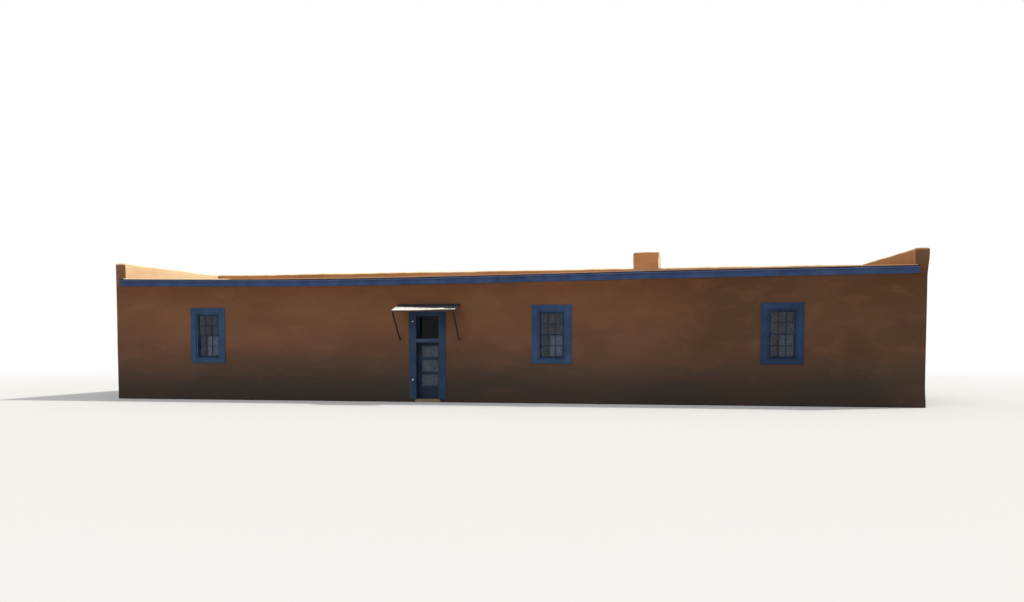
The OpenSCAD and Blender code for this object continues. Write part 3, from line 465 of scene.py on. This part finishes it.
def plate(front, back, keep=None, wrap=False):
    """Two grids of points with the same cells, joined along each free edge: a closed plate, with holes where keep
    is false. Returns points, quads and for each quad 0 front, 1 back, 2 edge."""
    n, m = front.shape[:2]
    index = np.arange(n * m).reshape(n, m)
    if wrap:
        index = np.vstack([index, index[:1]])
    a, b, c, d = index[:-1, :-1], index[1:, :-1], index[1:, 1:], index[:-1, 1:]
    keep = np.ones(a.shape, bool) if keep is None else keep
    quads = np.stack([a, b, c, d], -1)[keep]
    pad = np.pad(keep, 1)
    if wrap:
        pad[0, 1:-1], pad[-1, 1:-1] = keep[-1], keep[0]
    rims = []
    for p, q, near in ((a, b, pad[1:-1, :-2]), (b, c, pad[2:, 1:-1]),
                       (c, d, pad[1:-1, 2:]), (d, a, pad[:-2, 1:-1])):
        edge = keep & ~near
        p, q = p[edge], q[edge]
        rims.append(np.stack([q, p, p + n * m, q + n * m], -1))
    faces = np.vstack([quads, quads[:, ::-1] + n * m, *rims])
    kind = np.repeat([0, 1, 2], [len(quads), len(quads), len(faces) - 2 * len(quads)])
    used, faces = np.unique(faces, return_inverse=True)
    points = np.vstack([front.reshape(-1, 3), back.reshape(-1, 3)])[used]
    return points, faces.reshape(-1, 4), kind


def ring_faces(n, m, close_u=True, close_v=True):
    """Quads of an n by m grid of points, closed round either way."""
    index = np.arange(n * m).reshape(n, m)
    if close_u:
        index = np.vstack([index, index[:1]])
    if close_v:
        index = np.hstack([index, index[:, :1]])
    return np.stack([index[:-1, :-1], index[1:, :-1], index[1:, 1:], index[:-1, 1:]], -1).reshape(-1, 4)


def cap_faces(m):
    """Quads that close a ring of m points, laid across it from its seam."""
    i = np.arange((m - 1) // 2)
    return np.stack([i, i + 1, m - 2 - i, m - 1 - i], -1)


WINDOWS = (-10.06, 2.18, 9.43)  # middles of the front windows
HOLE_LOW, HOLE_HIGH, HOLE_HALF = 1.445, 3.05, 0.46  # their holes in the wall
DOOR_X, DOOR_HALF, DOOR_HIGH = -2.03, 0.4325, 2.94  # the door's hole
CASING_HALF, CASING_LOW, CASING_HIGH = 0.65, 1.315, 3.24
# Left, right, foot and top of the boards on the front: door casings, canopy, fascia and the foot of each strut
NAILED = [(-2.67, -1.39, 0, 3.15), (-3.2, -0.8, 3.1, 3.4), (-14, 14, 3.94, 4.4), (-3.1, -2.9, 2.0, 2.3),
          (-1.0, -0.8, 2.0, 2.3)]


def turned(x, y, k):
    """A point of the front side turned round to side k: front, right end, back, left end."""
    return ((x, y), (-y, x), (-x, -y), (y, -x))[k]


def lean(x, z):
    """The right end wall out of plumb: 35 mm in below 3.9 m and 65 mm back out at the parapet, each over a height
    of 0.8 m, fading round the corner."""
    low_in, back_out, turn_z, ease = 0.035, 0.065, 3.9, 0.8
    off = back_out * smooth((z - turn_z) / ease) - low_in * smooth(z / ease)
    return off * smooth((x - LONG + CORNER) / CORNER)


def calm(x, z, boxes):
    """0 on the boards nailed to the wall and 1 from 0.35 m away, so that the plaster meets them flush."""
    reach = 0.35
    out = np.ones(np.broadcast(x, z).shape)
    for x0, x1, z0, z1 in boxes:
        aside = np.clip(np.maximum(x0 - x, x - x1), 0, None)
        above = np.clip(np.maximum(z0 - z, z - z1), 0, None)
        out = out * smooth(np.hypot(aside, above) / reach)
    return out


def adobe_walls():
    """Four walls as one closed ring: a side coordinate s and a height v give a point of the outer face, with
    corners rounded in plan and slow waves of 8 mm, and a point of the room's face. Holes are cells left out, and
    the rows are level up to 3.3 m and then ease to the roof's slope."""
    level_to, room_ease = 3.3, 0.3
    outer, inner, keeps = [], [], []
    rows = lines(0.0, ROOF - BOARD_UNDER, CELL, (HOLE_LOW, HOLE_HIGH, DOOR_HIGH))
    for k in range(4):
        half, depth = (LONG, DEEP) if k % 2 == 0 else (DEEP, LONG)
        end = half - CORNER + CORNER * math.pi / 4
        xs = WINDOWS if k == 0 else [-x for x in WINDOWS] if k == 2 else []
        marks = [x + e for x in xs for e in (-HOLE_HALF, HOLE_HALF)]
        if k == 0:
            marks += [DOOR_X - DOOR_HALF, DOOR_X + DOOR_HALF]
        s = lines(-end, end, CELL, marks, (0.02, 0.04, 0.055, 0.3))
        mid = (s[1:] + s[:-1]) / 2
        high = (rows[1:] + rows[:-1]) / 2
        keep = np.ones((len(mid), len(high)), bool)
        for x in xs:
            keep &= ~((abs(mid - x) < HOLE_HALF)[:, None] & ((high > HOLE_LOW) & (high < HOLE_HIGH))[None])
        if k == 0:
            keep &= ~((abs(mid - DOOR_X) < DOOR_HALF)[:, None] & (high < DOOR_HIGH)[None])
        keeps.append(keep)
        s = s[:-1]
        bend = np.clip((abs(s) - (half - CORNER)) / CORNER, 0, 1)
        sx = np.where(bend > 0, np.sign(s) * (half - CORNER + CORNER * np.sin(bend)), s)
        sy = -depth + CORNER * (1 - np.cos(bend))
        s_in = half - WALL - room_ease
        ix = np.where(abs(s) < s_in, s, np.sign(s) * (s_in + room_ease * (abs(s) - s_in) / (end - s_in)))
        iy = np.full(len(s), -depth + WALL)
        wx, wy = turned(sx, sy, k)
        jx, jy = turned(ix, iy, k)
        top_out = roof_at(wy, BOARD_UNDER)
        top_in = roof_at(jy, LOG_SEAT if k % 2 == 0 else BOARD_UNDER)
        share = smooth((rows - level_to) / (rows[-1] - level_to))
        zo = rows[None] + share[None] * (top_out - rows[-1])[:, None]
        zi = rows[None] + share[None] * (top_in - rows[-1])[:, None]
        boxes = [(x - CASING_HALF, x + CASING_HALF, CASING_LOW, CASING_HIGH) for x in xs]
        if k == 0:
            boxes += NAILED
        out = WAVE * uneven(wx[:, None] + 0.8 * wy[:, None], rows[None], WAVE_LONG)
        out = out * calm(s[:, None], rows[None], boxes)
        ox, oy = turned(np.zeros(len(s)), -np.ones(len(s)), k)
        gx = wx[:, None] + ox[:, None] * out + lean(wx[:, None], zo)
        outer.append(np.stack([gx, wy[:, None] + oy[:, None] * out, zo], -1))
        inner.append(np.stack([jx[:, None] + 0 * zi, jy[:, None] + 0 * zi, zi], -1))
    points, faces, kind = plate(np.vstack(outer), np.vstack(inner), np.vstack(keeps), wrap=True)
    return points, faces, np.where(kind == 1, ROOM, OUTSIDE)


def parapets():
    """A rounded section carried round three sides: outer face, worn top of wavy height, inner face and foot. The
    ends are 90 mm thicker on the inside than the solids'."""
    thicker, bend, r, rows = 0.09, 0.06, 0.065, 5
    y = lines(-DEEP, DEEP - CORNER, CELL)
    y = np.unique(np.concatenate([y, -DEEP + np.array((0.008, 0.022, 0.045, 0.07))]))
    x = lines(-LONG + CORNER, LONG - CORNER, CELL)
    turn = np.linspace(0, math.pi / 2, 6)[1:-1]
    ox = np.concatenate([np.full(len(y), -LONG), -LONG + CORNER * (1 - np.cos(turn)), x,
                         LONG - CORNER * (1 - np.sin(turn)), np.full(len(y), LONG)])
    oy = np.concatenate([y, DEEP - CORNER * (1 - np.sin(turn)), np.full(len(x), DEEP),
                         DEEP - CORNER * (1 - np.cos(turn)), y[::-1]])
    px, py = LONG - PARAPET, DEEP - PARAPET
    iy = np.concatenate([-DEEP + (y + DEEP) * (py + DEEP - bend) / (2 * DEEP - CORNER),
                         py - bend * (1 - np.sin(turn)), np.full(len(x), py)])
    ix = np.concatenate([np.full(len(y), -px), -px + bend * (1 - np.cos(turn)), x * (px - bend) / (LONG - CORNER)])
    ix = np.concatenate([ix, -ix[len(y):len(y) + 4][::-1], np.full(len(y), px)])
    iy = np.concatenate([iy, iy[len(y):len(y) + 4][::-1], iy[:len(y)][::-1]])
    near_end = np.clip(np.minimum(oy + DEEP, 9) + np.where(abs(ox) < LONG - 0.5, 9, 0), 0, 9)
    plan = eased(near_end, CORNER)
    ox = ox - np.sign(ox) * plan
    ix = ix + np.sign(ix) * (eased(near_end, 0.02) - thicker) * (abs(abs(ix) - px) < 1e-6)
    foot = roof_at(oy, BOARD_UNDER)
    wave = 0.016 * uneven(ox + 0.9 * oy, 0.35 * oy, 4.2, 2.0) + 0.006 * uneven(ox, oy, 0.9, 5.0)
    tilt = 0.012 * np.sign(ox) * smooth((abs(ox) - 12) / 1.6)
    crown = roof_at(oy, -CROWN) + wave - eased(near_end, 0.05) - tilt
    a = np.linspace(0, math.pi / 2, 6)
    inwards, down = (1 - np.cos(a)) * r / PARAPET, np.sin(a) * r - r
    share = np.concatenate([np.zeros(rows), inwards, [0.5], 1 - inwards[::-1], np.ones(rows)])
    level = np.linspace(0, 1, rows + 1)[:rows]
    z = np.empty((len(ox), len(share)))
    side = foot[:, None] + level[None] * (crown - r - foot)[:, None]
    z[:, :rows], z[:, -rows:] = side, side[:, ::-1]
    z[:, rows:-rows] = crown[:, None] + np.concatenate([down, [0.004], down[::-1]])[None]
    w = share[None]
    gx = ox[:, None] * (1 - w) + ix[:, None] * w
    gy = oy[:, None] * (1 - w) + iy[:, None] * w
    out = WAVE * uneven(gx + 0.8 * gy, z, WAVE_LONG)
    facing = np.where(abs(ox) > LONG - 0.05 - CORNER, np.sign(ox), 0)[:, None]
    gx = gx + facing * out * (1 - 2 * w) + lean(ox[:, None], z) * (1 - w)
    gy = gy + (facing == 0) * out * (1 - 2 * w)
    points = np.stack([gx, gy, z], -1)
    n, m = z.shape
    faces = ring_faces(n, m, close_u=False)
    place, along = np.tile(np.arange(m), n - 1), np.repeat(np.arange(n - 1), m)
    # the left parapet's inner face takes the painted sunlight, the other inner faces the painted shade
    parts = np.where((place >= rows + 3) & (place < m - 1), np.where(along < len(y), SUNNY, BACK), OUTSIDE)
    cap = cap_faces(m)
    faces = np.vstack([faces, cap, cap + (n - 1) * m])
    parts = np.concatenate([parts, np.full(2 * len(cap), OUTSIDE)])
    # crest: the rounded top rings, which the finishes paint pale as sunlight on them
    crest = np.interp(np.arange(m), [7, 11, 15, 18], [0, 1, 1, 0])[None] * smooth(near_end / 0.09)[:, None]
    return points.reshape(-1, 3), faces, parts, crest.ravel()


def roof_mud():
    """A height over the roof's plan: the tilted plane, slow waves, a cove of 110 mm against three parapets and a
    rounded lip that follows the fascia, with a hole for the chimney; its underside lies on the boards. The lip is
    painted paler towards its left end, as sunlight on it."""
    cell, under = 0.2, 0.0596
    lip_out, lip_deep, lip_high, lip_round = 0.03, 0.13, 0.032, 0.022
    x1, y0, y1 = LONG - PARAPET - CLEAR, -DEEP - lip_out, DEEP - PARAPET - CLEAR
    coves = (0.012, 0.03, 0.055, 0.085, 0.12)
    hole_x = STACK_X - STACK_HALF - CLEAR, STACK_X + STACK_HALF + CLEAR
    hole_y = STACK_Y - STACK_DEEP - CLEAR, STACK_Y + STACK_DEEP + CLEAR
    x = lines(-x1, x1, cell, hole_x, coves)
    y = np.unique(np.concatenate([lines(y0, y1, cell, hole_y, coves), [
        y0 + 0.006, y0 + 0.015, -DEEP - 0.0001, -DEEP, -3.19, -3.15, -3.11, -3.04]]))
    gx, gy = np.meshgrid(x, y, indexing="ij")
    plane = roof_at(gy) + 0.010 * uneven(gx, gy, 1.9, 1.0) * smooth((gy - y0) / 0.5)
    lip = fascia_top(gx) + lip_high - eased(gy - y0, lip_round) + 0.005 * uneven(gx, 0 * gx, 0.8, 4.0)
    share = smooth((gy - (y0 + lip_deep)) / 0.22)
    top = lip * (1 - share) + plane * share
    wall = np.minimum(np.minimum(gx + x1, x1 - gx), 9)
    cove = 0.11 + 0.02 * uneven(gx + gy, 0 * gy, 1.3)
    top = top + eased(wall, cove) * smooth((gy - y0 - 0.02) / 0.25) + eased(y1 - gy, cove)
    stack = np.hypot(np.clip(abs(gx - STACK_X) - STACK_HALF, 0, None),
                     np.clip(abs(gy - STACK_Y) - STACK_DEEP - CLEAR, 0, None))
    top = top + eased(stack, 0.06) * smooth((gy - y0) / 0.08)
    low = np.where(gy < -DEEP, fascia_top(gx) + SLIT, roof_at(gy, under))
    mx, my = (x[1:] + x[:-1]) / 2, (y[1:] + y[:-1]) / 2
    keep = ~(((mx > hole_x[0]) & (mx < hole_x[1]))[:, None] & ((my > hole_y[0]) & (my < hole_y[1]))[None])
    points, faces, _ = plate(np.stack([gx, gy, top], -1), np.stack([gx, gy, low], -1), keep)
    edge = points[faces][:, :, 1].mean(1) < y0 + lip_deep
    return points, faces, edge.astype(int), smooth((-7.5 - points[:, 0]) / 3.0)


def fascia():
    """Six boards in line: a section of 30 by 250 mm with worn arrises is carried along the sagging top line, drawn
    back by up to 3 mm where a board has cupped. u runs along a board and v from its lower to its upper edge."""
    x0, x1, thick, high, gap, count = -13.49, 13.39, 0.03, 0.25, 0.003, 6
    a = np.linspace(0, math.pi / 2, 4)
    low, top = 0.007, 0.004
    sy = np.concatenate([low - low * np.sin(a[::-1]), top - top * np.cos(a), [thick, thick]])
    sz = np.concatenate([low - low * np.cos(a[::-1]), high - top + top * np.sin(a), [high, 0.0]])
    points, faces, uv = [], [], []
    for k in range(count):
        left = x0 + (x1 - x0) / count * k
        x = np.linspace(left, left + (x1 - x0) / count - gap, 20)
        cup = 0.0015 * (1 + uneven(x, 0 * x, 3.0, 2.0 * k))[:, None] * (sy < thick)[None]
        wear = 0.003 * np.clip(uneven(x, 0 * x, 0.6, 5.0 + k), 0, 1)[:, None] * (sz < 0.003)[None]
        z = fascia_top(x)[:, None] - high + sz[None] + wear
        grid = np.stack([x[:, None] + 0 * z, -DEEP - thick + sy[None] + cup, z], -1)
        n, m = z.shape
        start, cap = k * n * m, cap_faces(m)
        faces += [start + ring_faces(n, m, close_u=False), start + cap, start + cap + (n - 1) * m]
        points.append(grid.reshape(-1, 3))
        uv.append(np.stack([grid[..., 0], 0 * z + sz[None] / high], -1).reshape(-1, 2))
    return np.vstack(points), np.vstack(faces), np.vstack(uv)


def peeled_logs():
    """Ceiling logs every 0.8 m, but for two places by the chimney: circles of radius 97 mm, tapering by 8 mm and
    bent by 1.5 mm in slow waves, carried along the roof's fall and closed at both ends by rings that draw in."""
    front, back, below, apart = -3.0494, 2.9694, 0.1858, 0.8
    radius, taper, bend, sides = 0.097, 0.008, 0.0015, 20
    turn = np.linspace(0, 2 * math.pi, sides, endpoint=False)
    y = np.concatenate([[front] * 3, np.linspace(front, back, 14), [back] * 3])
    size = np.concatenate([[0.05, 0.6, 0.97], np.ones(14), [0.97, 0.6, 0.05]])
    points, faces = [], []
    for k, i in enumerate([i for i in range(-16, 17) if i not in (6, 7)]):
        r = size * (radius - taper * (y - front) / (back - front)) * (1 + 0.006 * uneven(y, 0 * y, 1.2, i))
        dx, dz = bend * uneven(y, 0 * y, 2.5, 3.0 * i), bend * uneven(y, 0 * y, 2.1, 5.0 * i)
        points.append(np.stack([
            i * apart + dx[:, None] + r[:, None] * np.cos(turn), y[:, None] + 0 * turn,
            (roof_at(y, below) + dz)[:, None] + r[:, None] * np.sin(turn)], -1).reshape(-1, 3))
        start, cap = k * len(y) * sides, cap_faces(sides)
        faces += [start + ring_faces(len(y), sides, close_u=False), start + cap,
                  start + cap + (len(y) - 1) * sides]
    return np.vstack(points), np.vstack(faces)


def round_rectangle(half_x, half_y, r, n):
    """Points round a rectangle with rounded corners, n to a side and corner, at the same shares for any size."""
    t = np.linspace(-1, 1, n, endpoint=False)
    a = np.linspace(0, math.pi / 2, 5)[1:-1]
    px = np.concatenate([t * (half_x - r), half_x - r + r * np.sin(a), np.full(n, half_x),
                         half_x - r + r * np.cos(a), -t * (half_x - r), -half_x + r - r * np.sin(a),
                         np.full(n, -half_x), -half_x + r - r * np.cos(a)])
    py = np.concatenate([np.full(n, -half_y), -half_y + r - r * np.cos(a), t * (half_y - r),
                         half_y - r + r * np.sin(a), np.full(n, half_y), half_y - r + r * np.cos(a),
                         -t * (half_y - r), -half_y + r - r * np.sin(a)])
    return px, py


def chimney():
    """A closed section turned round a rounded rectangle: tapering outer face, worn top edges and the flue's face.
    The right face, and less so the left one, is painted pale like the crest, as sunlight."""
    foot, high, deep, sides = 3.9717, 0.65, 0.62, 9  # foot in the wall, height over the roof, depth of the flue
    flue_x, flue_y = 0.21, 0.12
    top = ROOF + high
    a = np.linspace(0, math.pi / 2, 5)
    r, q = 0.06, 0.02
    rise = np.concatenate([[foot, 4.1, 4.2], np.linspace(4.28, top - r, 6), top - r + r * np.sin(a[1:]),
                           top - q + q * np.cos(a[1:]), [4.7, 4.4, top - deep]])
    inset = np.concatenate([np.zeros(9), r - r * np.cos(a[1:])])
    outside, edge = len(inset), len(inset) + 4  # rings up to the outer face's end and the flue's edge
    rings = []
    for i, z in enumerate(rise):
        taper = STACK_HALF - 0.01 * np.clip((z - ROOF) / high, 0, 1)
        if i < outside:
            px, py = round_rectangle(taper - inset[i], STACK_DEEP - inset[i], 0.09, sides)
        else:
            grow = q * (1 - math.sin(a[i - outside + 1])) if i < edge else 0.0
            px, py = round_rectangle(flue_x + grow, flue_y + grow, 0.02, sides)
        wave = 0.006 * uneven(px + py, 0 * px + z, 0.7, 3.0) * smooth((z - 4.3) / 0.2) * (i < outside)
        scale = 1 + wave / np.hypot(px, py)
        bump = 0.008 * uneven(px, py, 0.6, 1.0) * (8 < i < edge)
        rings.append(np.stack([STACK_X + px * scale, STACK_Y + py * scale, z + bump + 0 * px], -1))
    points = np.array(rings)
    n, m = points.shape[:2]
    # crest: the rounded top rings, painted pale as sunlight by the finish
    crest = np.repeat(np.interp(np.arange(n), [10, 12, 16, 18], [0, 1, 1, 0]), m)
    side = points[..., 0] - STACK_X
    # painted sunlight: the right face, and less so the left, is marked to turn pale
    sunlit_sides = smooth((side - taper + 0.085) / 0.03) + 0.55 * smooth((-side - taper + 0.06) / 0.03)
    sunlit_sides = sunlit_sides * smooth((points[..., 2] - 4.2) / 0.1)
    crest = np.maximum(crest, sunlit_sides.ravel() * (np.arange(n * m) < outside * m))
    cap = cap_faces(m)
    faces = np.vstack([ring_faces(n, m, close_u=False), (n - 1) * m + cap, cap])
    return points.reshape(-1, 3), faces, crest


def canopy_sheet():
    """Corrugated sheet: height = cosine across of pitch 67 mm and depth 18 mm on a plane that falls to the front,
    with a slow sag, a front that lifts to the right and an edge cut a little unevenly; 2 mm thick."""
    pitch, depth, thick, count = 0.067, 0.018, 0.002, 32
    mid_x, reach, fall, wall_z = -1.96, 0.85, 0.245, 3.2955
    half = pitch * count / 2
    gu, gv = np.meshgrid(np.linspace(-half, half, count * 8 + 1), np.linspace(0, 1, 15), indexing="ij")
    run = reach - SLIT + 0.006 * uneven(gu, 0 * gu, 0.9, 2.0) - 0.008
    y = -DEEP - SLIT - gv * run
    base = wall_z + (y + DEEP) * fall / reach
    wave = depth / 2 * (1 - np.cos(2 * math.pi * (gu + half) / pitch))
    sag = 0.006 * uneven(gu, gv, 1.4, 1.0) * smooth(gv * 3 - 1.4) * smooth(1.2 - gv)
    lift = 0.018 * smooth((gu + 0.25) / 1.0) * smooth(gv * 2 - 1)
    z = base + wave + sag + lift
    return plate(np.stack([mid_x + gu, y, z + thick], -1), np.stack([mid_x + gu, y, z], -1))[:2]


def cut_length(row):
    """Length along a row of points: the size that a gathered cloth was cut to."""
    return float(np.linalg.norm(np.diff(row, axis=0), axis=1).sum())


def window_curtains():
    """Three lace sheets on rods: folds across are a sine whose depth grows downwards; at the top the cloth goes
    over the rod and hangs a short hem behind it. Each hangs at the right of its window."""
    rod_y, rod_z, rod_r, foot = -3.183, 2.27, 0.0062, 1.503
    right, wide, clear, fold, hem, rows = 0.4 - 0.0225, 0.438, 0.002, 0.031, 0.024, 26
    points, faces, cut, long = [], [], 0.0, 0.0
    v = np.linspace(0, 1, rows)
    a = np.linspace(math.pi, 0, 7)
    down_y = np.concatenate([np.full(rows, -rod_r), rod_r * np.cos(a[1:]), [rod_r, rod_r]])
    down_z = np.concatenate([foot + v * (rod_z - foot), rod_z + rod_r * np.sin(a[1:]),
                             [rod_z - hem / 2, rod_z - hem]])
    folds = np.concatenate([0.0058 - 0.0046 * v ** 3, np.full(8, 0.0006)])
    for i, x in enumerate(WINDOWS):
        u = np.linspace(x + right - wide, x + right - clear, 177)
        phase = 2 * math.pi * (u - u[0]) / fold + 1.2 * np.sin((u - u[0]) * 17 + i)
        drift = 0.003 * np.sin(phase / 3.1 + i)
        gu = u[:, None] + drift[:, None] * (1 - np.linspace(0, 1, len(down_z)))[None]
        gy = rod_y + down_y[None] + 0 * gu
        gy = gy + rod_r * (np.arange(len(down_z)) < 20)[None] * smooth((2.2 - down_z) / 0.3)[None]
        gy = gy + folds[None] * np.sin(phase)[:, None]
        gz = down_z[None] + 0 * gu + 0.002 * np.sin(phase / 2)[:, None] * (np.arange(len(down_z)) == 0)[None]
        grid = np.stack([gu, gy, gz], -1)
        cut += cut_length(grid[:, 6])
        long = max(long, cut_length(grid[88]))
        n, m = grid.shape[:2]
        faces.append(ring_faces(n, m, False, False) + i * n * m)
        points.append(grid.reshape(-1, 3))
    return np.vstack(points), np.vstack(faces), (cut, long)


def door_curtain():
    """One lace sheet between two rods on the leaf: folds across are a sine, drawn in a little half way down."""
    x0, x1, z0, z1, y = -2.3635, -1.7285, 0.493, 1.9615, -2.949
    u, v = np.linspace(0, 1, 221), np.linspace(0, 1, 30)
    gu, gv = np.meshgrid(u, v, indexing="ij")
    waist = 1 - 0.02 * np.sin(math.pi * gv)
    x = (x0 + x1) / 2 + (gu - 0.5) * (x1 - x0 - 0.006) * waist
    phase = 2 * math.pi * u / 0.052 + 1.1 * np.sin(9 * u)
    depth = 0.0012 + 0.0018 * np.sin(math.pi * gv)
    grid = np.stack([x, y + depth * np.sin(phase)[:, None], z0 + gv * (z1 - z0)], -1)
    size = cut_length(grid[:, 15]), cut_length(grid[110])
    return grid.reshape(-1, 3), ring_faces(*grid.shape[:2], False, False), size


def white_caps():
    """Two round caps on the left casing: a quarter ellipse turned about Y, 56 mm across and 12 mm proud."""
    radius, proud, tip, casing_y, x, sides = 0.028, 0.012, 0.0005, -3.3242, -2.54, 32
    a = np.linspace(0, math.pi / 2, 7)[1:-1]
    t = np.linspace(0, 2 * math.pi, sides, endpoint=False)
    r = np.concatenate([[tip, radius], radius * np.cos(a), [tip]])[:, None]
    y = casing_y - np.concatenate([[0.0, 0.0], proud * np.sin(a), [proud]])[:, None]
    points = [np.stack([x + r * np.cos(t), y + 0 * t, z + r * np.sin(t)], -1).reshape(-1, 3)
              for z in (2.725, 0.754)]
    faces = ring_faces(len(r), sides)
    return np.vstack(points), np.vstack([faces, faces + len(points[0])])


# ---------------------------------------------------------------- pieces
points, faces, parts = adobe_walls()
top_points, top_faces, top_parts, top_crest = parapets()
walls = piece("mud_plastered_adobe_walls", np.vstack([points, top_points]),
              np.vstack([faces, top_faces + len(points)]),
              [wall_plaster, inner_plaster, sunny_plaster, back_plaster], slot="adobe",
              parts=np.concatenate([parts, top_parts]), crest=np.concatenate([np.zeros(len(points)), top_crest]))
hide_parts("front_wall_left", "front_wall_over_door", "front_wall_right",
            "left_end_wall", "right_end_wall", "back_wall")

points, faces, parts, crest = roof_mud()
coating = piece("trowelled_roof_coating", points, faces, [roof_coat, lip_coat], slot="roof_coating", parts=parts,
                crest=crest)
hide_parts("roof_coating", "parapet_coves")

points, faces, uv = fascia()
fascia_boards = piece("blue_fascia_boards", points, faces, [fascia_paint], slot="blue_painted_wood", uv=uv)
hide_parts("fascia_boards")

logs = piece("peeled_ceiling_logs", *peeled_logs(), [log_wood], slot="log_wood")
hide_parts("ceiling_logs")

points, faces, crest = chimney()
stack = piece("plastered_chimney_stack", points, faces, [chimney_plaster], slot="adobe", crest=crest)
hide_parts("chimney_stack")

sheet = piece("corrugated_canopy_sheet", *canopy_sheet(), [steel], slot="corrugated_steel")
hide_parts("canopy_sheet")

points, faces, size = window_curtains()
# faces right of x = 5 m, the right window's, take the painted shade copy
lace_sheets = piece("lace_window_curtains", points, faces, [lace_cloth, shaded_lace], slot="curtain_cloth",
                    parts=points[faces[:, 0], 0] > 5)
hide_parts("window_curtains")

points, faces, size = door_curtain()
leaf_lace = piece("lace_door_curtain", points, faces, [leaf_cloth], body="front_door", slot="curtain_cloth")
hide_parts("door_curtain")

piece("white_round_caps", *white_caps(), [white_china], slot="light_blue_painted_wood")


# ---------------------------------------------------------------- floor, background and lamps
def studio_floor():
    """A flat pale floor 600 m across, that fades to white between 22 and 55 m from the house."""
    r, ramp = 300.0, 100.0
    mesh = bpy.data.meshes.new("studio_floor")
    mesh.from_pydata([(-r, -r, 0), (r, -r, 0), (r, r, 0), (-r, r, 0)], [], [(0, 1, 2, 3)])
    o = bpy.data.objects.new("studio_floor", mesh)
    bpy.context.collection.objects.link(o)
    m = bpy.data.materials.new("pale_matt_floor")
    m.use_nodes = True
    t = m.node_tree
    t.nodes.clear()
    far = add(t, "VectorMath", "Value", operation="LENGTH", s0=add(t, "TexCoord", "Object"))
    fade = add(t, "ValToRGB", Fac=add(t, "Math", operation="DIVIDE", s0=far, s1=ramp),
               stops=[(0.22, 0.0), (0.55, 1.0)])
    share = add(t, "Math", operation="MULTIPLY", s0=fade, s1=add(t, "LightPath", "Is Camera Ray"))
    matt = add(t, "BsdfDiffuse", Color="#dcdbd8")
    both = add(t, "MixShader", s0=share, s1=matt, s2=add(t, "Emission", Color="#ffffff", Strength=1.0))
    add(t, "OutputMaterial", None, Surface=both)
    mesh.materials.append(m)


def studio_world():
    """Soft light from every side, and plain white wherever the background is seen, straight, by gloss or through
    glass."""
    world = bpy.data.worlds.new("studio")
    bpy.context.scene.world = world
    world.use_nodes = True
    t = world.node_tree
    t.nodes.clear()
    seen = add(t, "Math", operation="MAXIMUM", s0=add(t, "LightPath", "Is Camera Ray"),
               s1=add(t, "LightPath", "Is Glossy Ray"))
    seen = add(t, "Math", operation="MAXIMUM", s0=seen, s1=add(t, "LightPath", "Is Transmission Ray"))
    both = add(t, "MixShader", s0=seen, s1=add(t, "Background", Color="#f7faff", Strength=0.62),
               s2=add(t, "Background", Color="#ffffff", Strength=1.0))
    add(t, "OutputWorld", None, Surface=both)


def lamp(name, towards, strength, spread_deg, colour):
    """A far lamp that shines along a direction, soft by its angle."""
    data = bpy.data.lights.new(name, "SUN")
    data.energy = strength
    data.angle = math.radians(spread_deg)
    data.color = colour
    o = bpy.data.objects.new(name, data)
    bpy.context.collection.objects.link(o)
    o.rotation_euler = Vector(towards).to_track_quat("-Z", "Y").to_euler()


studio_floor()
studio_world()
lamp("key_high_behind_right", (-0.72, -0.32, -0.95), 2.4, 4, (1.0, 0.96, 0.9))
lamp("fill_front_left", (0.35, 0.9, -0.75), 0.6, 30, (1.0, 1.0, 1.0))
